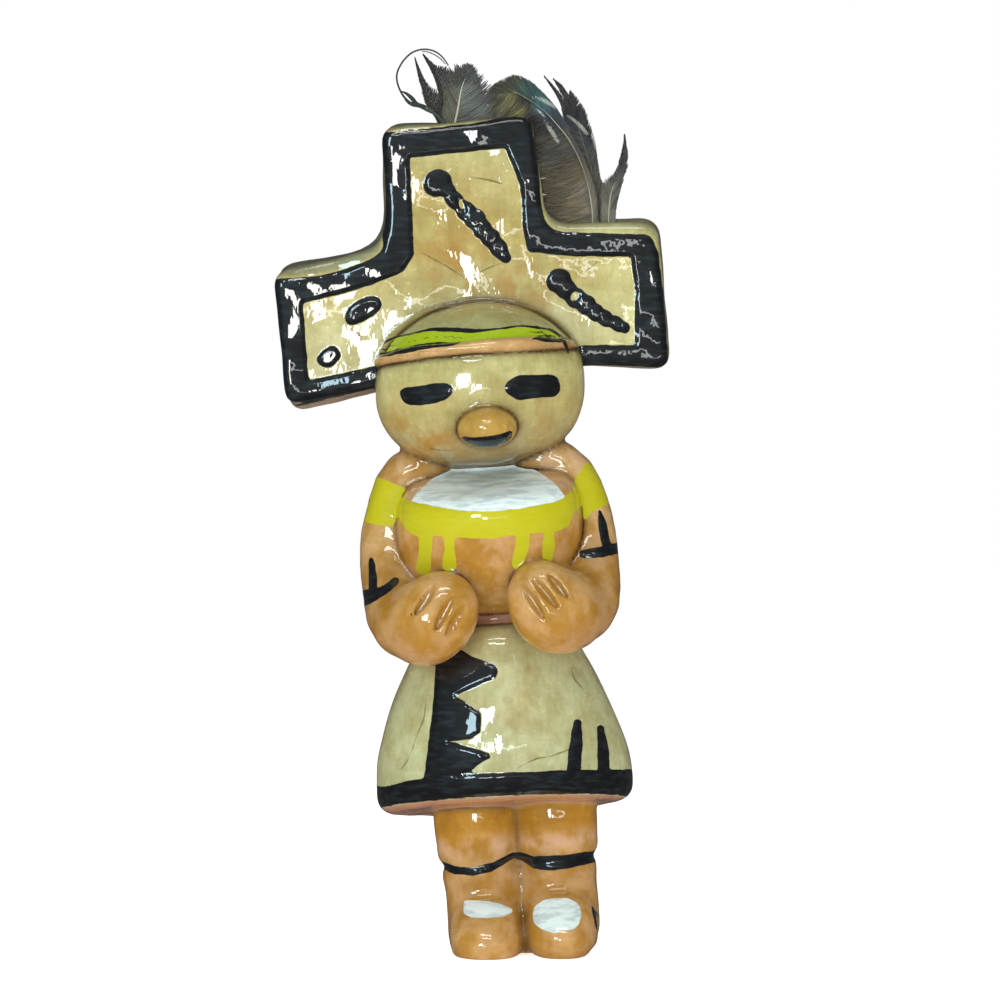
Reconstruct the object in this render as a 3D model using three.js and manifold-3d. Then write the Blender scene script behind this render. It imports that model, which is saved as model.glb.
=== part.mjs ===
// A small hand-built clay kachina doll with a stepped headdress and glued-in feathers.
//
// Millimetres, +Z up, the front faces -Y. The origin is on the flat sole, between the feet.
// The figure is rolled, coiled and pressed from wet clay, so every form is a soft one, and
// the whole clay body is one solid. It leans a little to one side on level feet, so it is
// modelled upright and then leaned over before its soles are cut flat.
import * as THREE from 'three';
import { mergeVertices } from 'three/addons/utils/BufferGeometryUtils.js';
import Module from 'manifold-3d';

// ---- Driving dimensions, in the upright figure's frame ----

const LEAN = THREE.MathUtils.degToRad(4.4); // sideways lean of the standing figure

const TABLITA = {
  top: 152, // height of the top edge
  topLeft: -13.4,
  topRight: 13.7,
  stepLeft: [-15.2, 130.4], // x and height where each arm meets the widening top block
  stepRight: [14.8, 132.4],
  leftEnd: -34.6, // left arm's end, and its upper and lower heights there
  leftHigh: 128.4,
  leftLow: 100.9,
  rightEnd: 35.6,
  rightHigh: 131.8,
  rightLow: 104,
  underLeft: [-17, 103.7], // where the lower edge passes behind the head
  underRight: [18, 105.5],
  thickness: 7.6,
  back: 7.2, // y of the flat back at the foot of the slab
  foot: 103, // height that the slab leans forward about
  forwardLean: THREE.MathUtils.degToRad(4),
  edgeRound: 2.1,
  cornerRound: 3.8,
  innerRound: 6, // of the two inner corners beside the top block
};

const HEAD = { x: 0.8, y: -1.4, z: 103.4, halfWidth: 18.9, halfDepth: 13.4, halfHeight: 15, jowl: 2.35 };
const LIP = { rise: 11.4, foot: 107, halfWidth: 18.2, radius: 1.5, y: -2 };
const COIL = { z: 108.2, arch: 1.2, radius: 1.15, proud: 0.2 };
const SNOUT = { x: 1.6, y: -13.6, z: 95.5, halfWidth: 5.3, halfDepth: 5.6, halfHeight: 4.1 };

const SHOULDER_TOP = 91;
const WAIST = 59;
const DRUM = {
  x: 0.6,
  y: -9.4,
  z: 85.2,
  tilt: THREE.MathUtils.degToRad(18.5), // the head of the drum faces up and forward
  radius: 16.6,
  length: 25,
  flatten: 0.78, // its depth against its width
};

const ARM_RADIUS = 5;
const ARM_SPREAD = { left: 0.965, right: 0.955 }; // the arms' reach to either side
const HAND = { length: 8, width: 7, depth: 5.4, y: -17.6, z: 62.8, slant: THREE.MathUtils.degToRad(50) };
const FINGERS = 4;
const GROOVE_RADIUS = 0.55;

const SKIRT = { halfWidth: 23.3, halfDepth: 15.8, hem: 27.3, backDrop: 0.17, sideDrop: 0.03 };
const LEG = { x: 7.2, halfWidth: 7.2, halfDepth: 7.4, garter: 17.6 };
const FOOT = { front: -14.6, heel: 8.2, halfWidth: 6.7, height: 9 };
const LEGS_MIDDLE = 1.1; // x of the line between the legs
const INSTEP = { y: 1.6, halfWidth: 4, halfDepth: 5, height: 7 }; // clay pressed between the heels

const SOCKET = { radius: 1.05, depth: 4 }; // holes for the quills, in the top edge
const QUILL_RADIUS = 0.6;
const VANE_THICKNESS = 0.8;

// ---- Solids: closed triangle meshes, joined and cut ----

const wasm = await Module();
wasm.setup();

/** The manifold solid of a closed geometry. */
function solid(geometry) {
  const shell = geometry.clone();
  shell.deleteAttribute('normal');
  shell.deleteAttribute('uv');
  const merged = mergeVertices(shell, 1e-4);
  return new wasm.Manifold(new wasm.Mesh({
    numProp: 3,
    vertProperties: new Float32Array(merged.attributes.position.array),
    triVerts: new Uint32Array(merged.index.array),
  }));
}

/** A three.js geometry of a manifold solid. */
function geometryOf(manifold) {
  const mesh = manifold.getMesh();
  const geometry = new THREE.BufferGeometry();
  geometry.setAttribute('position', new THREE.BufferAttribute(new Float32Array(mesh.vertProperties), 3));
  geometry.setIndex(new THREE.BufferAttribute(new Uint32Array(mesh.triVerts), 1));
  return geometry;
}

const joined = (solids) => solids.reduce((whole, next) => whole.add(next));

/** A closed skin over a row of rings, each a list of as many points, with a fan at each end. */
function loft(rings) {
  const count = rings[0].length;
  const points = rings.flat();
  const ends = [rings[0], rings[rings.length - 1]].map((ring) =>
    ring.reduce((sum, p) => sum.add(p), new THREE.Vector3()).divideScalar(count));
  const faces = [];
  for (let row = 0; row + 1 < rings.length; row++) {
    for (let i = 0; i < count; i++) {
      const a = row * count + i;
      const b = row * count + ((i + 1) % count);
      faces.push(a, b, b + count, a, b + count, a + count);
    }
  }
  const last = (rings.length - 1) * count;
  for (let i = 0; i < count; i++) {
    const next = (i + 1) % count;
    faces.push(points.length, next, i);
    faces.push(points.length + 1, last + i, last + next);
  }
  const geometry = new THREE.BufferGeometry().setFromPoints([...points, ...ends]);
  geometry.setIndex(faces);
  return geometry;
}

/** One level outline: a rounded oval whose height may drop to the back and the side. */
function oval({ z, x = 0, y = 0, rx, ry, square = 2, backDrop = 0, sideDrop = 0 }, sides) {
  return Array.from({ length: sides }, (_, i) => {
    const angle = (2 * Math.PI * i) / sides;
    const c = Math.cos(angle);
    const s = Math.sin(angle);
    const reach = (Math.abs(c) ** square + Math.abs(s) ** square) ** (-1 / square);
    const px = rx * reach * c;
    const py = ry * reach * s;
    return new THREE.Vector3(x + px, y + py, z - backDrop * py - sideDrop * px);
  });
}

const stack = (levels, sides) => solid(loft(levels.map((level) => oval(level, sides))));

/** A ball of clay drawn out along X, Y and Z. Its lower half may be squarer than an egg's. */
function ball({ x, y, z, halfWidth, halfDepth, halfHeight, jowl = 2 }, sides, rows) {
  const levels = [];
  for (let k = 1; k < rows; k++) {
    const angle = -Math.PI / 2 + (Math.PI * k) / rows;
    const power = angle < 0 ? jowl : 2;
    const up = Math.sin(angle);
    const out = Math.cos(angle);
    const reach = (Math.abs(up) ** power + out ** power) ** (-1 / power);
    const wide = out * reach;
    levels.push({ z: z + up * reach * halfHeight, x, y, rx: wide * halfWidth, ry: wide * halfDepth });
  }
  const pole = (level, end) => ({ ...level, z: z + end * halfHeight, rx: 0.05 * level.rx, ry: 0.05 * level.ry });
  return stack([pole(levels[0], -1), ...levels, pole(levels[levels.length - 1], 1)], sides);
}

/** The value at share u of a row of evenly spaced values, eased between them. */
function along(values, u) {
  const place = u * (values.length - 1);
  const low = Math.min(Math.floor(place), values.length - 2);
  const share = place - low;
  const ease = share * share * (3 - 2 * share);
  return values[low] + (values[low + 1] - values[low]) * ease;
}

/** A roll of clay along a smooth path through points, with its own radii and round ends. */
function roll(points, radii, { sides, steps, roundEnds = true }) {
  const curve = new THREE.CatmullRomCurve3(points.map((p) => new THREE.Vector3(...p)));
  const length = curve.getLength();
  const side = new THREE.Vector3(0, 1, 0);
  const rings = [];
  for (let k = 0; k <= steps; k++) {
    const inner = roundEnds ? 0.004 + 0.992 * (1 - Math.cos((Math.PI * k) / steps)) / 2 : k / steps;
    const centre = curve.getPointAt(inner);
    const tangent = curve.getTangentAt(inner);
    side.addScaledVector(tangent, -side.dot(tangent)).normalize();
    const across = new THREE.Vector3().crossVectors(tangent, side);
    const full = along(radii, inner);
    const toEnd = Math.min(inner, 1 - inner) * length;
    const cap = roundEnds && toEnd < full ? Math.sqrt(1 - (1 - toEnd / full) ** 2) : 1;
    rings.push(Array.from({ length: sides }, (_, i) => {
      const angle = (2 * Math.PI * i) / sides;
      return centre.clone()
        .addScaledVector(side, full * cap * Math.cos(angle))
        .addScaledVector(across, full * cap * Math.sin(angle));
    }));
  }
  return solid(loft(rings));
}

// ---- The headdress slab ----

/** A closed outline through corners { at, round }, each turned by a curve of its own reach. */
function roundedOutline(corners) {
  const shape = new THREE.Shape();
  const turned = corners.map(({ at, round }, i) => {
    const before = corners[(i + corners.length - 1) % corners.length].at;
    const after = corners[(i + 1) % corners.length].at;
    return {
      at,
      from: at.clone().add(before.clone().sub(at).setLength(round)),
      to: at.clone().add(after.clone().sub(at).setLength(round)),
    };
  });
  shape.moveTo(turned[0].from.x, turned[0].from.y);
  turned.forEach(({ at, from, to }) => {
    shape.lineTo(from.x, from.y);
    shape.quadraticCurveTo(at.x, at.y, to.x, to.y);
  });
  shape.closePath();
  return shape;
}

/** The stepped slab: two arms and a top block, with soft edges, leaning a little forward. */
function tablita() {
  const t = TABLITA;
  const corners = [
    [t.leftEnd, t.leftLow], t.underLeft, t.underRight, [t.rightEnd, t.rightLow],
    [t.rightEnd, t.rightHigh], t.stepRight,
    [t.topRight, t.top], [t.topLeft, t.top],
    t.stepLeft, [t.leftEnd, t.leftHigh],
  ].map(([x, z]) => ({
    at: new THREE.Vector2(x, z - t.foot),
    round: x === t.stepLeft[0] || x === t.stepRight[0] ? t.innerRound : t.cornerRound,
  }));
  const slab = new THREE.ExtrudeGeometry(roundedOutline(corners), {
    depth: t.thickness - 2 * t.edgeRound,
    bevelThickness: t.edgeRound,
    bevelSize: t.edgeRound,
    bevelOffset: -t.edgeRound,
    bevelSegments: 3,
    curveSegments: 4,
  });
  slab.translate(0, 0, t.edgeRound);
  slab.rotateX(Math.PI / 2 + t.forwardLean);
  slab.translate(0, t.back, t.foot);
  return solid(slab);
}

// ---- Head ----

/** The thick rolled edge of the slab where it arches over the crown. */
function crownLip() {
  const points = [];
  const turns = 9;
  for (let i = 0; i <= turns; i++) {
    const angle = Math.PI * (i / turns);
    points.push([
      HEAD.x - LIP.halfWidth * Math.cos(angle),
      LIP.y - 0.9 * Math.sin(angle),
      LIP.foot + LIP.rise * Math.sin(angle),
    ]);
  }
  const full = LIP.radius;
  return roll(points, [0.7 * full, full, full, full, 0.7 * full], { sides: 6, steps: 20 });
}

/** The headband: a thin coil laid round the brow from ear to ear, a little proud. */
function headband() {
  const levelShare = Math.sqrt(1 - ((COIL.z - HEAD.z) / HEAD.halfHeight) ** 2);
  const rx = HEAD.halfWidth * levelShare + COIL.proud;
  const ry = HEAD.halfDepth * levelShare + COIL.proud;
  const points = [];
  const turns = 10;
  for (let i = 0; i <= turns; i++) {
    const angle = Math.PI * (i / turns);
    points.push([
      HEAD.x - rx * Math.cos(angle),
      HEAD.y - ry * Math.sin(angle),
      COIL.z + COIL.arch * Math.sin(angle),
    ]);
  }
  return roll(points, [COIL.radius, COIL.radius], { sides: 6, steps: 20 });
}

const head = () => joined([
  ball(HEAD, 28, 15),
  ball(SNOUT, 14, 8),
  crownLip(),
  headband(),
]);

// ---- Torso and drum ----

const torso = () => stack([
  { z: WAIST - 4, x: 0.6, y: 0.5, rx: 13, ry: 10 },
  { z: WAIST, x: 0.6, y: 0.8, rx: 12.2, ry: 9.6 },
  { z: 66, x: 0.4, y: 1.4, rx: 13.4, ry: 9.4 },
  { z: 76, x: 0.2, y: 2.6, rx: 15.2, ry: 8.2 },
  { z: 84, x: 0.2, y: 3.4, rx: 15.4, ry: 6.2 },
  { z: SHOULDER_TOP, x: 0.2, y: 3.2, rx: 13, ry: 5.4 },
  { z: SHOULDER_TOP + 4, x: 0.2, y: 1, rx: 10, ry: 5.4 },
], 18);

/** The pot drum: a nearly flat head, full round sides and a round bottom held in the hands. */
function drum() {
  const profile = [
    [0, 0.3], [0.7, 0.1], [0.84, -0.5], [0.92, -1.6], [0.97, -3.4],
    [1, -7], [1, -11], [0.97, -14], [0.88, -17.4], [0.7, -20.6], [0.42, -23.4], [0, -DRUM.length],
  ].map(([share, drop]) => new THREE.Vector2(share * DRUM.radius, drop)).reverse();
  const pot = new THREE.LatheGeometry(profile, 26);
  pot.rotateX(Math.PI / 2);
  pot.scale(1, DRUM.flatten, 1);
  pot.rotateX(DRUM.tilt);
  pot.translate(DRUM.x, DRUM.y, DRUM.z);
  return solid(pot);
}

// ---- Arms ----

/** The hand's own axes: along the fingers, across them, and out of its back. */
function handFrame(side) {
  const fingers = new THREE.Vector3(-side * Math.cos(HAND.slant), -0.08, Math.sin(HAND.slant)).normalize();
  const out = new THREE.Vector3(side * 0.18, -1, 0);
  out.addScaledVector(fingers, -out.dot(fingers)).normalize();
  const across = new THREE.Vector3().crossVectors(out, fingers);
  return new THREE.Matrix4().makeBasis(fingers, across, out);
}

/** A mitten of clay with grooves pressed between the fingers. */
function hand(side, centre) {
  const place = handFrame(side).setPosition(...centre);
  const mitten = new THREE.SphereGeometry(1, 16, 11);
  mitten.scale(HAND.length, HAND.width, HAND.depth);
  mitten.applyMatrix4(place);
  const grooves = [];
  for (let i = 1; i < FINGERS; i++) {
    const v = (2 * i) / FINGERS - 1;
    const path = [0.66, 0.45, 0.2, -0.05, -0.25].map((u) => {
      const reach = Math.sqrt(Math.max(0, 1 - u * u - (0.8 * v) ** 2));
      const point = new THREE.Vector3(u * HAND.length, 0.8 * v * HAND.width, reach * HAND.depth);
      return point.applyMatrix4(place).toArray();
    });
    const width = GROOVE_RADIUS;
    grooves.push(roll(path, [width, width, width, 0.4 * width], { sides: 5, steps: 6 }));
  }
  return { mitten: solid(mitten), grooves };
}

/** Shoulder, upper arm, elbow and forearm in one roll, for side -1 or 1. */
function arm(side) {
  const points = [
    [8.6, 0.6, 89.2], [15, -0.4, 86], [18.7, -2.6, 77.4], [18.8, -6.6, 68.6],
    [16.8, -12.2, 61.8], [12.4, -16, 60.4], [9.8, HAND.y + 0.6, 62],
  ].map(([x, y, z]) => [side * x * (side < 0 ? ARM_SPREAD.left : ARM_SPREAD.right), y, z]);
  const share = [1, 1.05, 1, 1, 1.1, 1.2, 1];
  return roll(points, share.map((s) => s * ARM_RADIUS), { sides: 14, steps: 17 });
}

// ---- Skirt, legs and feet ----

/** The flaring skirt, whose round hem hangs lower at the back. */
function skirt() {
  const height = WAIST + 1 - SKIRT.hem;
  const level = (up, wide, hemShare) => ({
    z: SKIRT.hem + up * height,
    x: 0.5 * (up - 1),
    y: 0.3,
    rx: wide * SKIRT.halfWidth,
    ry: wide * SKIRT.halfDepth + 3.2 * up,
    backDrop: SKIRT.backDrop * hemShare,
    sideDrop: SKIRT.sideDrop * hemShare,
  });
  return stack([
    level(0, 0.86, 1), level(0.02, 0.95, 1), level(0.06, 0.99, 1), level(0.14, 1, 0.95),
    level(0.25, 0.985, 0.8), level(0.4, 0.935, 0.6), level(0.6, 0.83, 0.3),
    level(0.8, 0.69, 0.1), level(0.94, 0.57, 0), level(1, 0.48, 0),
  ], 30);
}

/** A short round leg that swells above its garter line. */
function leg(side) {
  const level = (z, wide, out = 0) => ({
    z,
    x: LEGS_MIDDLE + side * (LEG.x + out),
    y: 1,
    rx: wide * LEG.halfWidth,
    ry: wide * LEG.halfDepth,
    square: 2.3,
  });
  const g = LEG.garter;
  return stack([
    level(2, 0.9, -0.4), level(g - 5, 0.95, -0.3), level(g - 0.9, 0.96, -0.2),
    level(g, 0.91, -0.2), level(g + 1.2, 0.99), level(g + 4, 1.04), level(g + 14, 1.02),
  ], 16);
}

/** A stubby foot with a round toe. It runs below the floor, where the sole is cut. */
function foot(side) {
  const length = FOOT.heel - FOOT.front;
  const level = (z, wide, front, heel) => ({
    z,
    x: LEGS_MIDDLE + side * (LEG.x - 0.5),
    y: (FOOT.front + front + FOOT.heel - heel) / 2,
    rx: wide * FOOT.halfWidth,
    ry: (length - front - heel) / 2,
    square: 2.3,
  });
  return stack([
    level(-2, 0.74, 2.4, 1), level(-0.2, 0.82, 1.6, 0.6), level(1, 0.95, 0.6, 0.2), level(2.6, 1, 0, 0),
    level(4.6, 1.01, 0.5, 0), level(6.6, 0.98, 2, 0), level(FOOT.height, 0.93, 4.6, 0.6),
    level(FOOT.height + 2.4, 0.86, 7.6, 1.4),
  ], 16);
}

/** The web of clay that joins the two heels and rests on the floor with them. */
function instep() {
  const { y, halfWidth, halfDepth, height } = INSTEP;
  const level = (z, wide) => ({ z, x: 0.6, y, rx: wide * halfWidth, ry: wide * halfDepth });
  return stack([level(-2, 1), level(0.6 * height, 0.9), level(height, 0.6)], 12);
}

// ---- Feathers ----

/** The y of the slab's middle plane at height z. */
const slabMiddle = (z) =>
  TABLITA.back - TABLITA.thickness / 2 - (z - TABLITA.foot) * Math.tan(TABLITA.forwardLean);

/**
 * A thin vane: a strip along a path whose width to either side of the shaft is given by two
 * rows of values, thick along the shaft and thin at its edges.
 */
function vane(points, leftWidths, rightWidths, steps) {
  const curve = new THREE.CatmullRomCurve3(points.map((p) => new THREE.Vector3(...p)));
  const rings = [];
  for (let k = 0; k <= steps; k++) {
    const u = k / steps;
    const centre = curve.getPointAt(u);
    const tangent = curve.getTangentAt(u);
    const right = new THREE.Vector3(tangent.z, 0, -tangent.x).normalize();
    const front = new THREE.Vector3(0, -VANE_THICKNESS / 2, 0);
    rings.push([
      centre.clone().addScaledVector(right, along(rightWidths, u)),
      centre.clone().sub(front),
      centre.clone().addScaledVector(right, -along(leftWidths, u)),
      centre.clone().add(front),
    ]);
  }
  return solid(loft(rings));
}

/** A quill from the bottom of its socket to a little way up the vane. */
const quill = (points, tip = 0.36) =>
  roll(points, [QUILL_RADIUS, 0.9 * QUILL_RADIUS, tip], { sides: 6, steps: 5, roundEnds: false });

/** A quill hole in the slab's top edge: its x, its height, and its y behind the middle plane. */
const socketAt = (x, z, behind) => ({ x, y: slabMiddle(z) + behind, z });

const RIGHT_STEP = TABLITA.stepRight[1];
const sockets = {
  downy: socketAt(-0.4, TABLITA.top, -0.2),
  spikes: socketAt(-3, TABLITA.top, 1.7),
  barb: socketAt(-3.8, TABLITA.top, -1.8),
  long: socketAt(23.6, RIGHT_STEP, 0),
  back: socketAt(25, RIGHT_STEP, 2),
  short: socketAt(27, RIGHT_STEP, -1.4),
};

/** The quill's root in its socket: points at its bottom and just clear of its mouth. */
const root = ({ x, y, z }) => [[x, y, z - SOCKET.depth + 0.4], [x, y, z + 0.4]];

function greyDownyFeather() {
  const { y } = sockets.downy;
  const shaft = [...root(sockets.downy), [0.1, y - 0.1, 154.2]];
  const web = [[-0.2, y, 153.2], [0.5, y - 0.3, 156.2], [2, y - 0.7, 158.8], [3, y - 1, 161]];
  return joined([quill(shaft), vane(web, [1.8, 2.8, 3.4, 3], [4.2, 5.6, 4.2, 2.2], 8)]);
}

function splitSpikesFeather() {
  const { y } = sockets.spikes;
  const shaft = [...root(sockets.spikes), [-3.2, y, 154.2]];
  const web = [[-3, y, 152.5], [-3.6, y, 155.4], [-3.5, y, 158.2], [-2.8, y, 160.8]];
  const outerSpike = [[-4.8, y, 155], [-6, y, 158.4], [-6.7, y, 163.2]];
  const innerSpike = [[-3, y, 158.4], [-3.8, y, 161.2], [-5.1, y, 164]];
  return joined([
    quill(shaft),
    vane(web, [0.9, 1.8, 0.8, 0.5], [1.4, 2, 2.4, 2.2], 5),
    vane(outerSpike, [0.7, 0.6, 0.12], [1.5, 0.6, 0.12], 3),
    vane(innerSpike, [1.1, 0.7, 0.12], [1.4, 0.8, 0.12], 3),
  ]);
}

/** A stiff black barb that leaves its socket sideways and curls right over in a loop. */
function curledBarb() {
  const centre = { x: -4.8, z: 159.2, radius: 5.2 };
  const { y } = sockets.barb;
  const turns = 9;
  const loop = [];
  for (let i = 0; i <= turns; i++) {
    const angle = THREE.MathUtils.degToRad(-128 - (205 * i) / turns);
    loop.push([
      centre.x + centre.radius * Math.cos(angle),
      y - 1.2 * Math.sin((Math.PI * i) / turns),
      centre.z + centre.radius * Math.sin(angle),
    ]);
  }
  const path = [...root(sockets.barb), ...loop];
  return roll(path, [0.5, 0.5, 0.6, 0.34, 0.3, 0.3, 0.3, 0.24], { sides: 4, steps: 26, roundEnds: false });
}

function longArchingFeather() {
  const { y } = sockets.long;
  const shaft = [...root(sockets.long), [23.5, y, 135.4]];
  const web = [
    [23.5, y, 133], [23.1, y, 138.4], [21.6, y + 0.2, 143.4], [18.9, y + 0.4, 148.6],
    [15.3, y + 0.7, 152.6], [11, y + 1, 155.7], [6, y + 1.2, 156],
  ];
  return joined([
    quill(shaft),
    vane(web, [4.6, 8, 6.6, 4.2, 2.4, 3.2, 2.4], [0.8, 1, 1.2, 2, 3.2, 3.6, 1.4], 16),
  ]);
}

function barredBackFeather() {
  const { y } = sockets.back;
  const shaft = [...root(sockets.back), [25, y, 135.2]];
  const web = [[25, y, 133.4], [24.9, y, 139], [23.9, y, 145.6], [22.4, y, 151], [21.2, y, 155.6]];
  const leftSpikes = [[18.2, 158], [16.7, 158.7]].map(([x, z]) =>
    vane([[21.6, y, 150], [20.2, y, 153.4], [x, y, z]], [1.4, 0.9, 0.12], [1.2, 0.8, 0.12], 4));
  return joined([
    quill(shaft),
    vane(web, [1, 1.8, 2, 1.8, 0.2], [0.8, 1.5, 1.6, 1.6, 0.2], 8),
    ...leftSpikes,
  ]);
}

function shortRightFeather() {
  const { y } = sockets.short;
  const shaft = [...root(sockets.short), [27.2, y, 135]];
  const web = [[26.9, y, 133.2], [27.4, y, 137], [28.9, y, 140.6], [30.1, y, 143.6], [30.5, y, 147]];
  return joined([quill(shaft), vane(web, [1.5, 1.9, 1.1, 0.6, 0.1], [1.2, 1.8, 1.4, 0.8, 0.1], 8)]);
}

// ---- The whole object ----

/** A hole in the slab's edge for one quill, open at the top. */
function socketHole({ x, y, z }) {
  const length = SOCKET.depth + 4;
  const hole = new THREE.CylinderGeometry(SOCKET.radius, SOCKET.radius, length, 10);
  hole.rotateX(Math.PI / 2);
  hole.translate(x, y, z - SOCKET.depth + length / 2);
  return solid(hole);
}

const leanOver = (manifold) => {
  const geometry = geometryOf(manifold);
  geometry.rotateY(-LEAN);
  return geometry;
};

function clayFigure() {
  const sides = [-1, 1];
  const hands = sides.map((side) => hand(side, [side * 9.7 + 0.1, HAND.y, HAND.z]));
  let body = joined([
    tablita(), head(), torso(), drum(), skirt(),
    ...sides.map(arm), ...hands.map(({ mitten }) => mitten),
    ...sides.map(leg), ...sides.map(foot), instep(),
  ]);
  body = body.subtract(joined(hands.flatMap(({ grooves }) => grooves)));
  body = body.subtract(joined(Object.values(sockets).map(socketHole)));
  const leaned = solid(leanOver(body));
  const floor = new THREE.BoxGeometry(100, 100, 20);
  floor.translate(0, 0, -10);
  return geometryOf(leaned.subtract(solid(floor)));
}

const doll = new THREE.Group();

function addPiece(name, geometry, color, roughness) {
  const material = new THREE.MeshStandardMaterial({ color, roughness, metalness: 0, flatShading: true });
  const mesh = new THREE.Mesh(geometry, material);
  mesh.name = name;
  doll.add(mesh);
}

addPiece('clay_figure', clayFigure(), 0xb7ac6e, 0.2);
addPiece('feather_grey_downy', leanOver(greyDownyFeather()), 0x6b6e69, 0.9);
addPiece('feather_split_spikes', leanOver(splitSpikesFeather()), 0x4a4842, 0.9);
addPiece('feather_curled_barb', leanOver(curledBarb()), 0x1b2422, 0.6);
addPiece('feather_long_arching', leanOver(longArchingFeather()), 0x5d5745, 0.8);
addPiece('feather_barred_back', leanOver(barredBackFeather()), 0x45463f, 0.8);
addPiece('feather_short_right', leanOver(shortRightFeather()), 0x69695d, 0.9);

export default doll;
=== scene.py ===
"""A small hand-built clay kachina doll, glazed all over, with feathers in its headdress.

Blender works in metres; every size below is in millimetres. The figure is laid out upright
and then leaned to its left on level soles, as it stands. Its front faces -Y.
"""
import abc
import logging
from dataclasses import dataclass
from enum import Enum

import bpy
import numpy as np
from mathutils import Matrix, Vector


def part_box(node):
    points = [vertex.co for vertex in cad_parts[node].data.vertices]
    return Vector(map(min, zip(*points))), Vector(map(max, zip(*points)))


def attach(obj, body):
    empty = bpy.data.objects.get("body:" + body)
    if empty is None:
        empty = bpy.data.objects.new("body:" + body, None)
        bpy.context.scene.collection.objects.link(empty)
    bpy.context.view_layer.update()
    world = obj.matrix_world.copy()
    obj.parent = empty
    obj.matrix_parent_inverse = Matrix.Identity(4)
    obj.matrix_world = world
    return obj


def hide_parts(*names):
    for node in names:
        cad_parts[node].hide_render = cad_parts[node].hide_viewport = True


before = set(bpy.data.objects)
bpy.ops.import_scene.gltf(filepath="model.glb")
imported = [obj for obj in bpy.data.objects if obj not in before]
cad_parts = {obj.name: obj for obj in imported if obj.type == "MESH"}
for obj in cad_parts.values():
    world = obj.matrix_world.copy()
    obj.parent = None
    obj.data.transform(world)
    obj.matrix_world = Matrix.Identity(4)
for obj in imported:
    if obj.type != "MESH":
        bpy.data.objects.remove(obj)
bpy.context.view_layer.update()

Array = np.ndarray
log = logging.getLogger("kachina")

MM = 0.001
LEAN = np.radians(4.4)
NET_STEP = 0.56  # spacing of the clay skin's points
VIEW_DISTANCE = 650.0  # the painted marks are laid out as they look from here, in front
VIEW_HEIGHT = 75.0
VIEW_WIDTH = 180.0  # what the picture takes in at that distance, before it is scaled
VIEW_SCALE = 0.99
VIEW_RISE = 0.6  # how much higher the marks are laid out than a plain view gives


class Slot(Enum):
    """The record's material slots."""

    CLAY = "glazed_clay"
    DOWNY = "downy_feather"
    BARRED = "barred_feather"
    BARB = "black_barb"


# ---- Arithmetic shared by the forms ----


def linear(code: str) -> tuple[float, float, float, float]:
    """Linear RGBA of an sRGB hex colour: each channel c goes to ((c + 0.055) / 1.055) ** 2.4."""
    channels = np.array([int(code[i:i + 2], 16) for i in (1, 3, 5)]) / 255.0
    lit = np.where(channels <= 0.04045, channels / 12.92, ((channels + 0.055) / 1.055) ** 2.4)
    return (*lit.tolist(), 1.0)


def to_upright(points: Array) -> Array:
    """Takes the lean out of standing points: a turn about Y by the lean."""
    c, s = np.cos(LEAN), np.sin(LEAN)
    x, y, z = points.T
    return np.stack([x * c + z * s, y, z * c - x * s], axis=1)


def to_standing(points: Array) -> Array:
    """Leans upright points over: a turn about Y by minus the lean."""
    c, s = np.cos(LEAN), np.sin(LEAN)
    x, y, z = points.T
    return np.stack([x * c - z * s, y, x * s + z * c], axis=1)


def smooth_least(a: Array, b: Array, reach: float) -> Array:
    """The smaller of a and b, lowered by h * h * reach / 4 where h = 1 - |a - b| / reach > 0."""
    h = np.maximum(reach - np.abs(a - b), 0.0) / reach
    return np.minimum(a, b) - h * h * reach / 4


def smooth_most(a: Array, b: Array, reach: float) -> Array:
    """The larger of a and b, with its crease filled as in smooth_least."""
    return -smooth_least(-a, -b, reach)


def ramp(low: float, high: float, value: Array) -> Array:
    """0 below low and 1 above high, with 3 t^2 - 2 t^3 between them."""
    t = np.clip((value - low) / (high - low), 0, 1)
    return t * t * (3 - 2 * t)


def eased(places: Array, values: Array, at: Array) -> Array:
    """Values at `at` on the cubic that passes each value at its place with the mean slope there.

    Args:
        places: Rising positions, one for each row of values.
        values: One row for each place.
        at: Where the cubic is wanted.

    Returns:
        One row for each entry of at: the Hermite cubic of the two rows round it.
    """
    places, values = np.asarray(places, float), np.asarray(values, float)
    slopes = np.gradient(values, places, axis=0)
    i = np.clip(np.searchsorted(places, at, side="right") - 1, 0, len(places) - 2)
    step = places[i + 1] - places[i]
    t = np.clip((at - places[i]) / step, 0, 1)
    if values.ndim > 1:
        t, step = t[:, None], step[:, None]
    start, end = slopes[i] * step, slopes[i + 1] * step
    return ((2 * t**3 - 3 * t**2 + 1) * values[i] + (t**3 - 2 * t**2 + t) * start
            + (3 * t**2 - 2 * t**3) * values[i + 1] + (t**3 - t**2) * end)


def smooth_path(corners: Array, count: int) -> Array:
    """A smooth path through corners, cut into evenly spaced points by its running length."""
    corners = np.asarray(corners, float)
    chords = np.linalg.norm(np.diff(corners, axis=0), axis=1)
    places = np.concatenate([[0], np.cumsum(np.sqrt(chords))])
    dense = eased(places, corners, np.linspace(0, places[-1], 8 * count))
    run = np.concatenate([[0], np.cumsum(np.linalg.norm(np.diff(dense, axis=0), axis=1))])
    even = np.linspace(0, run[-1], count)
    return np.stack([np.interp(even, run, column) for column in dense.T], axis=1)


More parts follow.
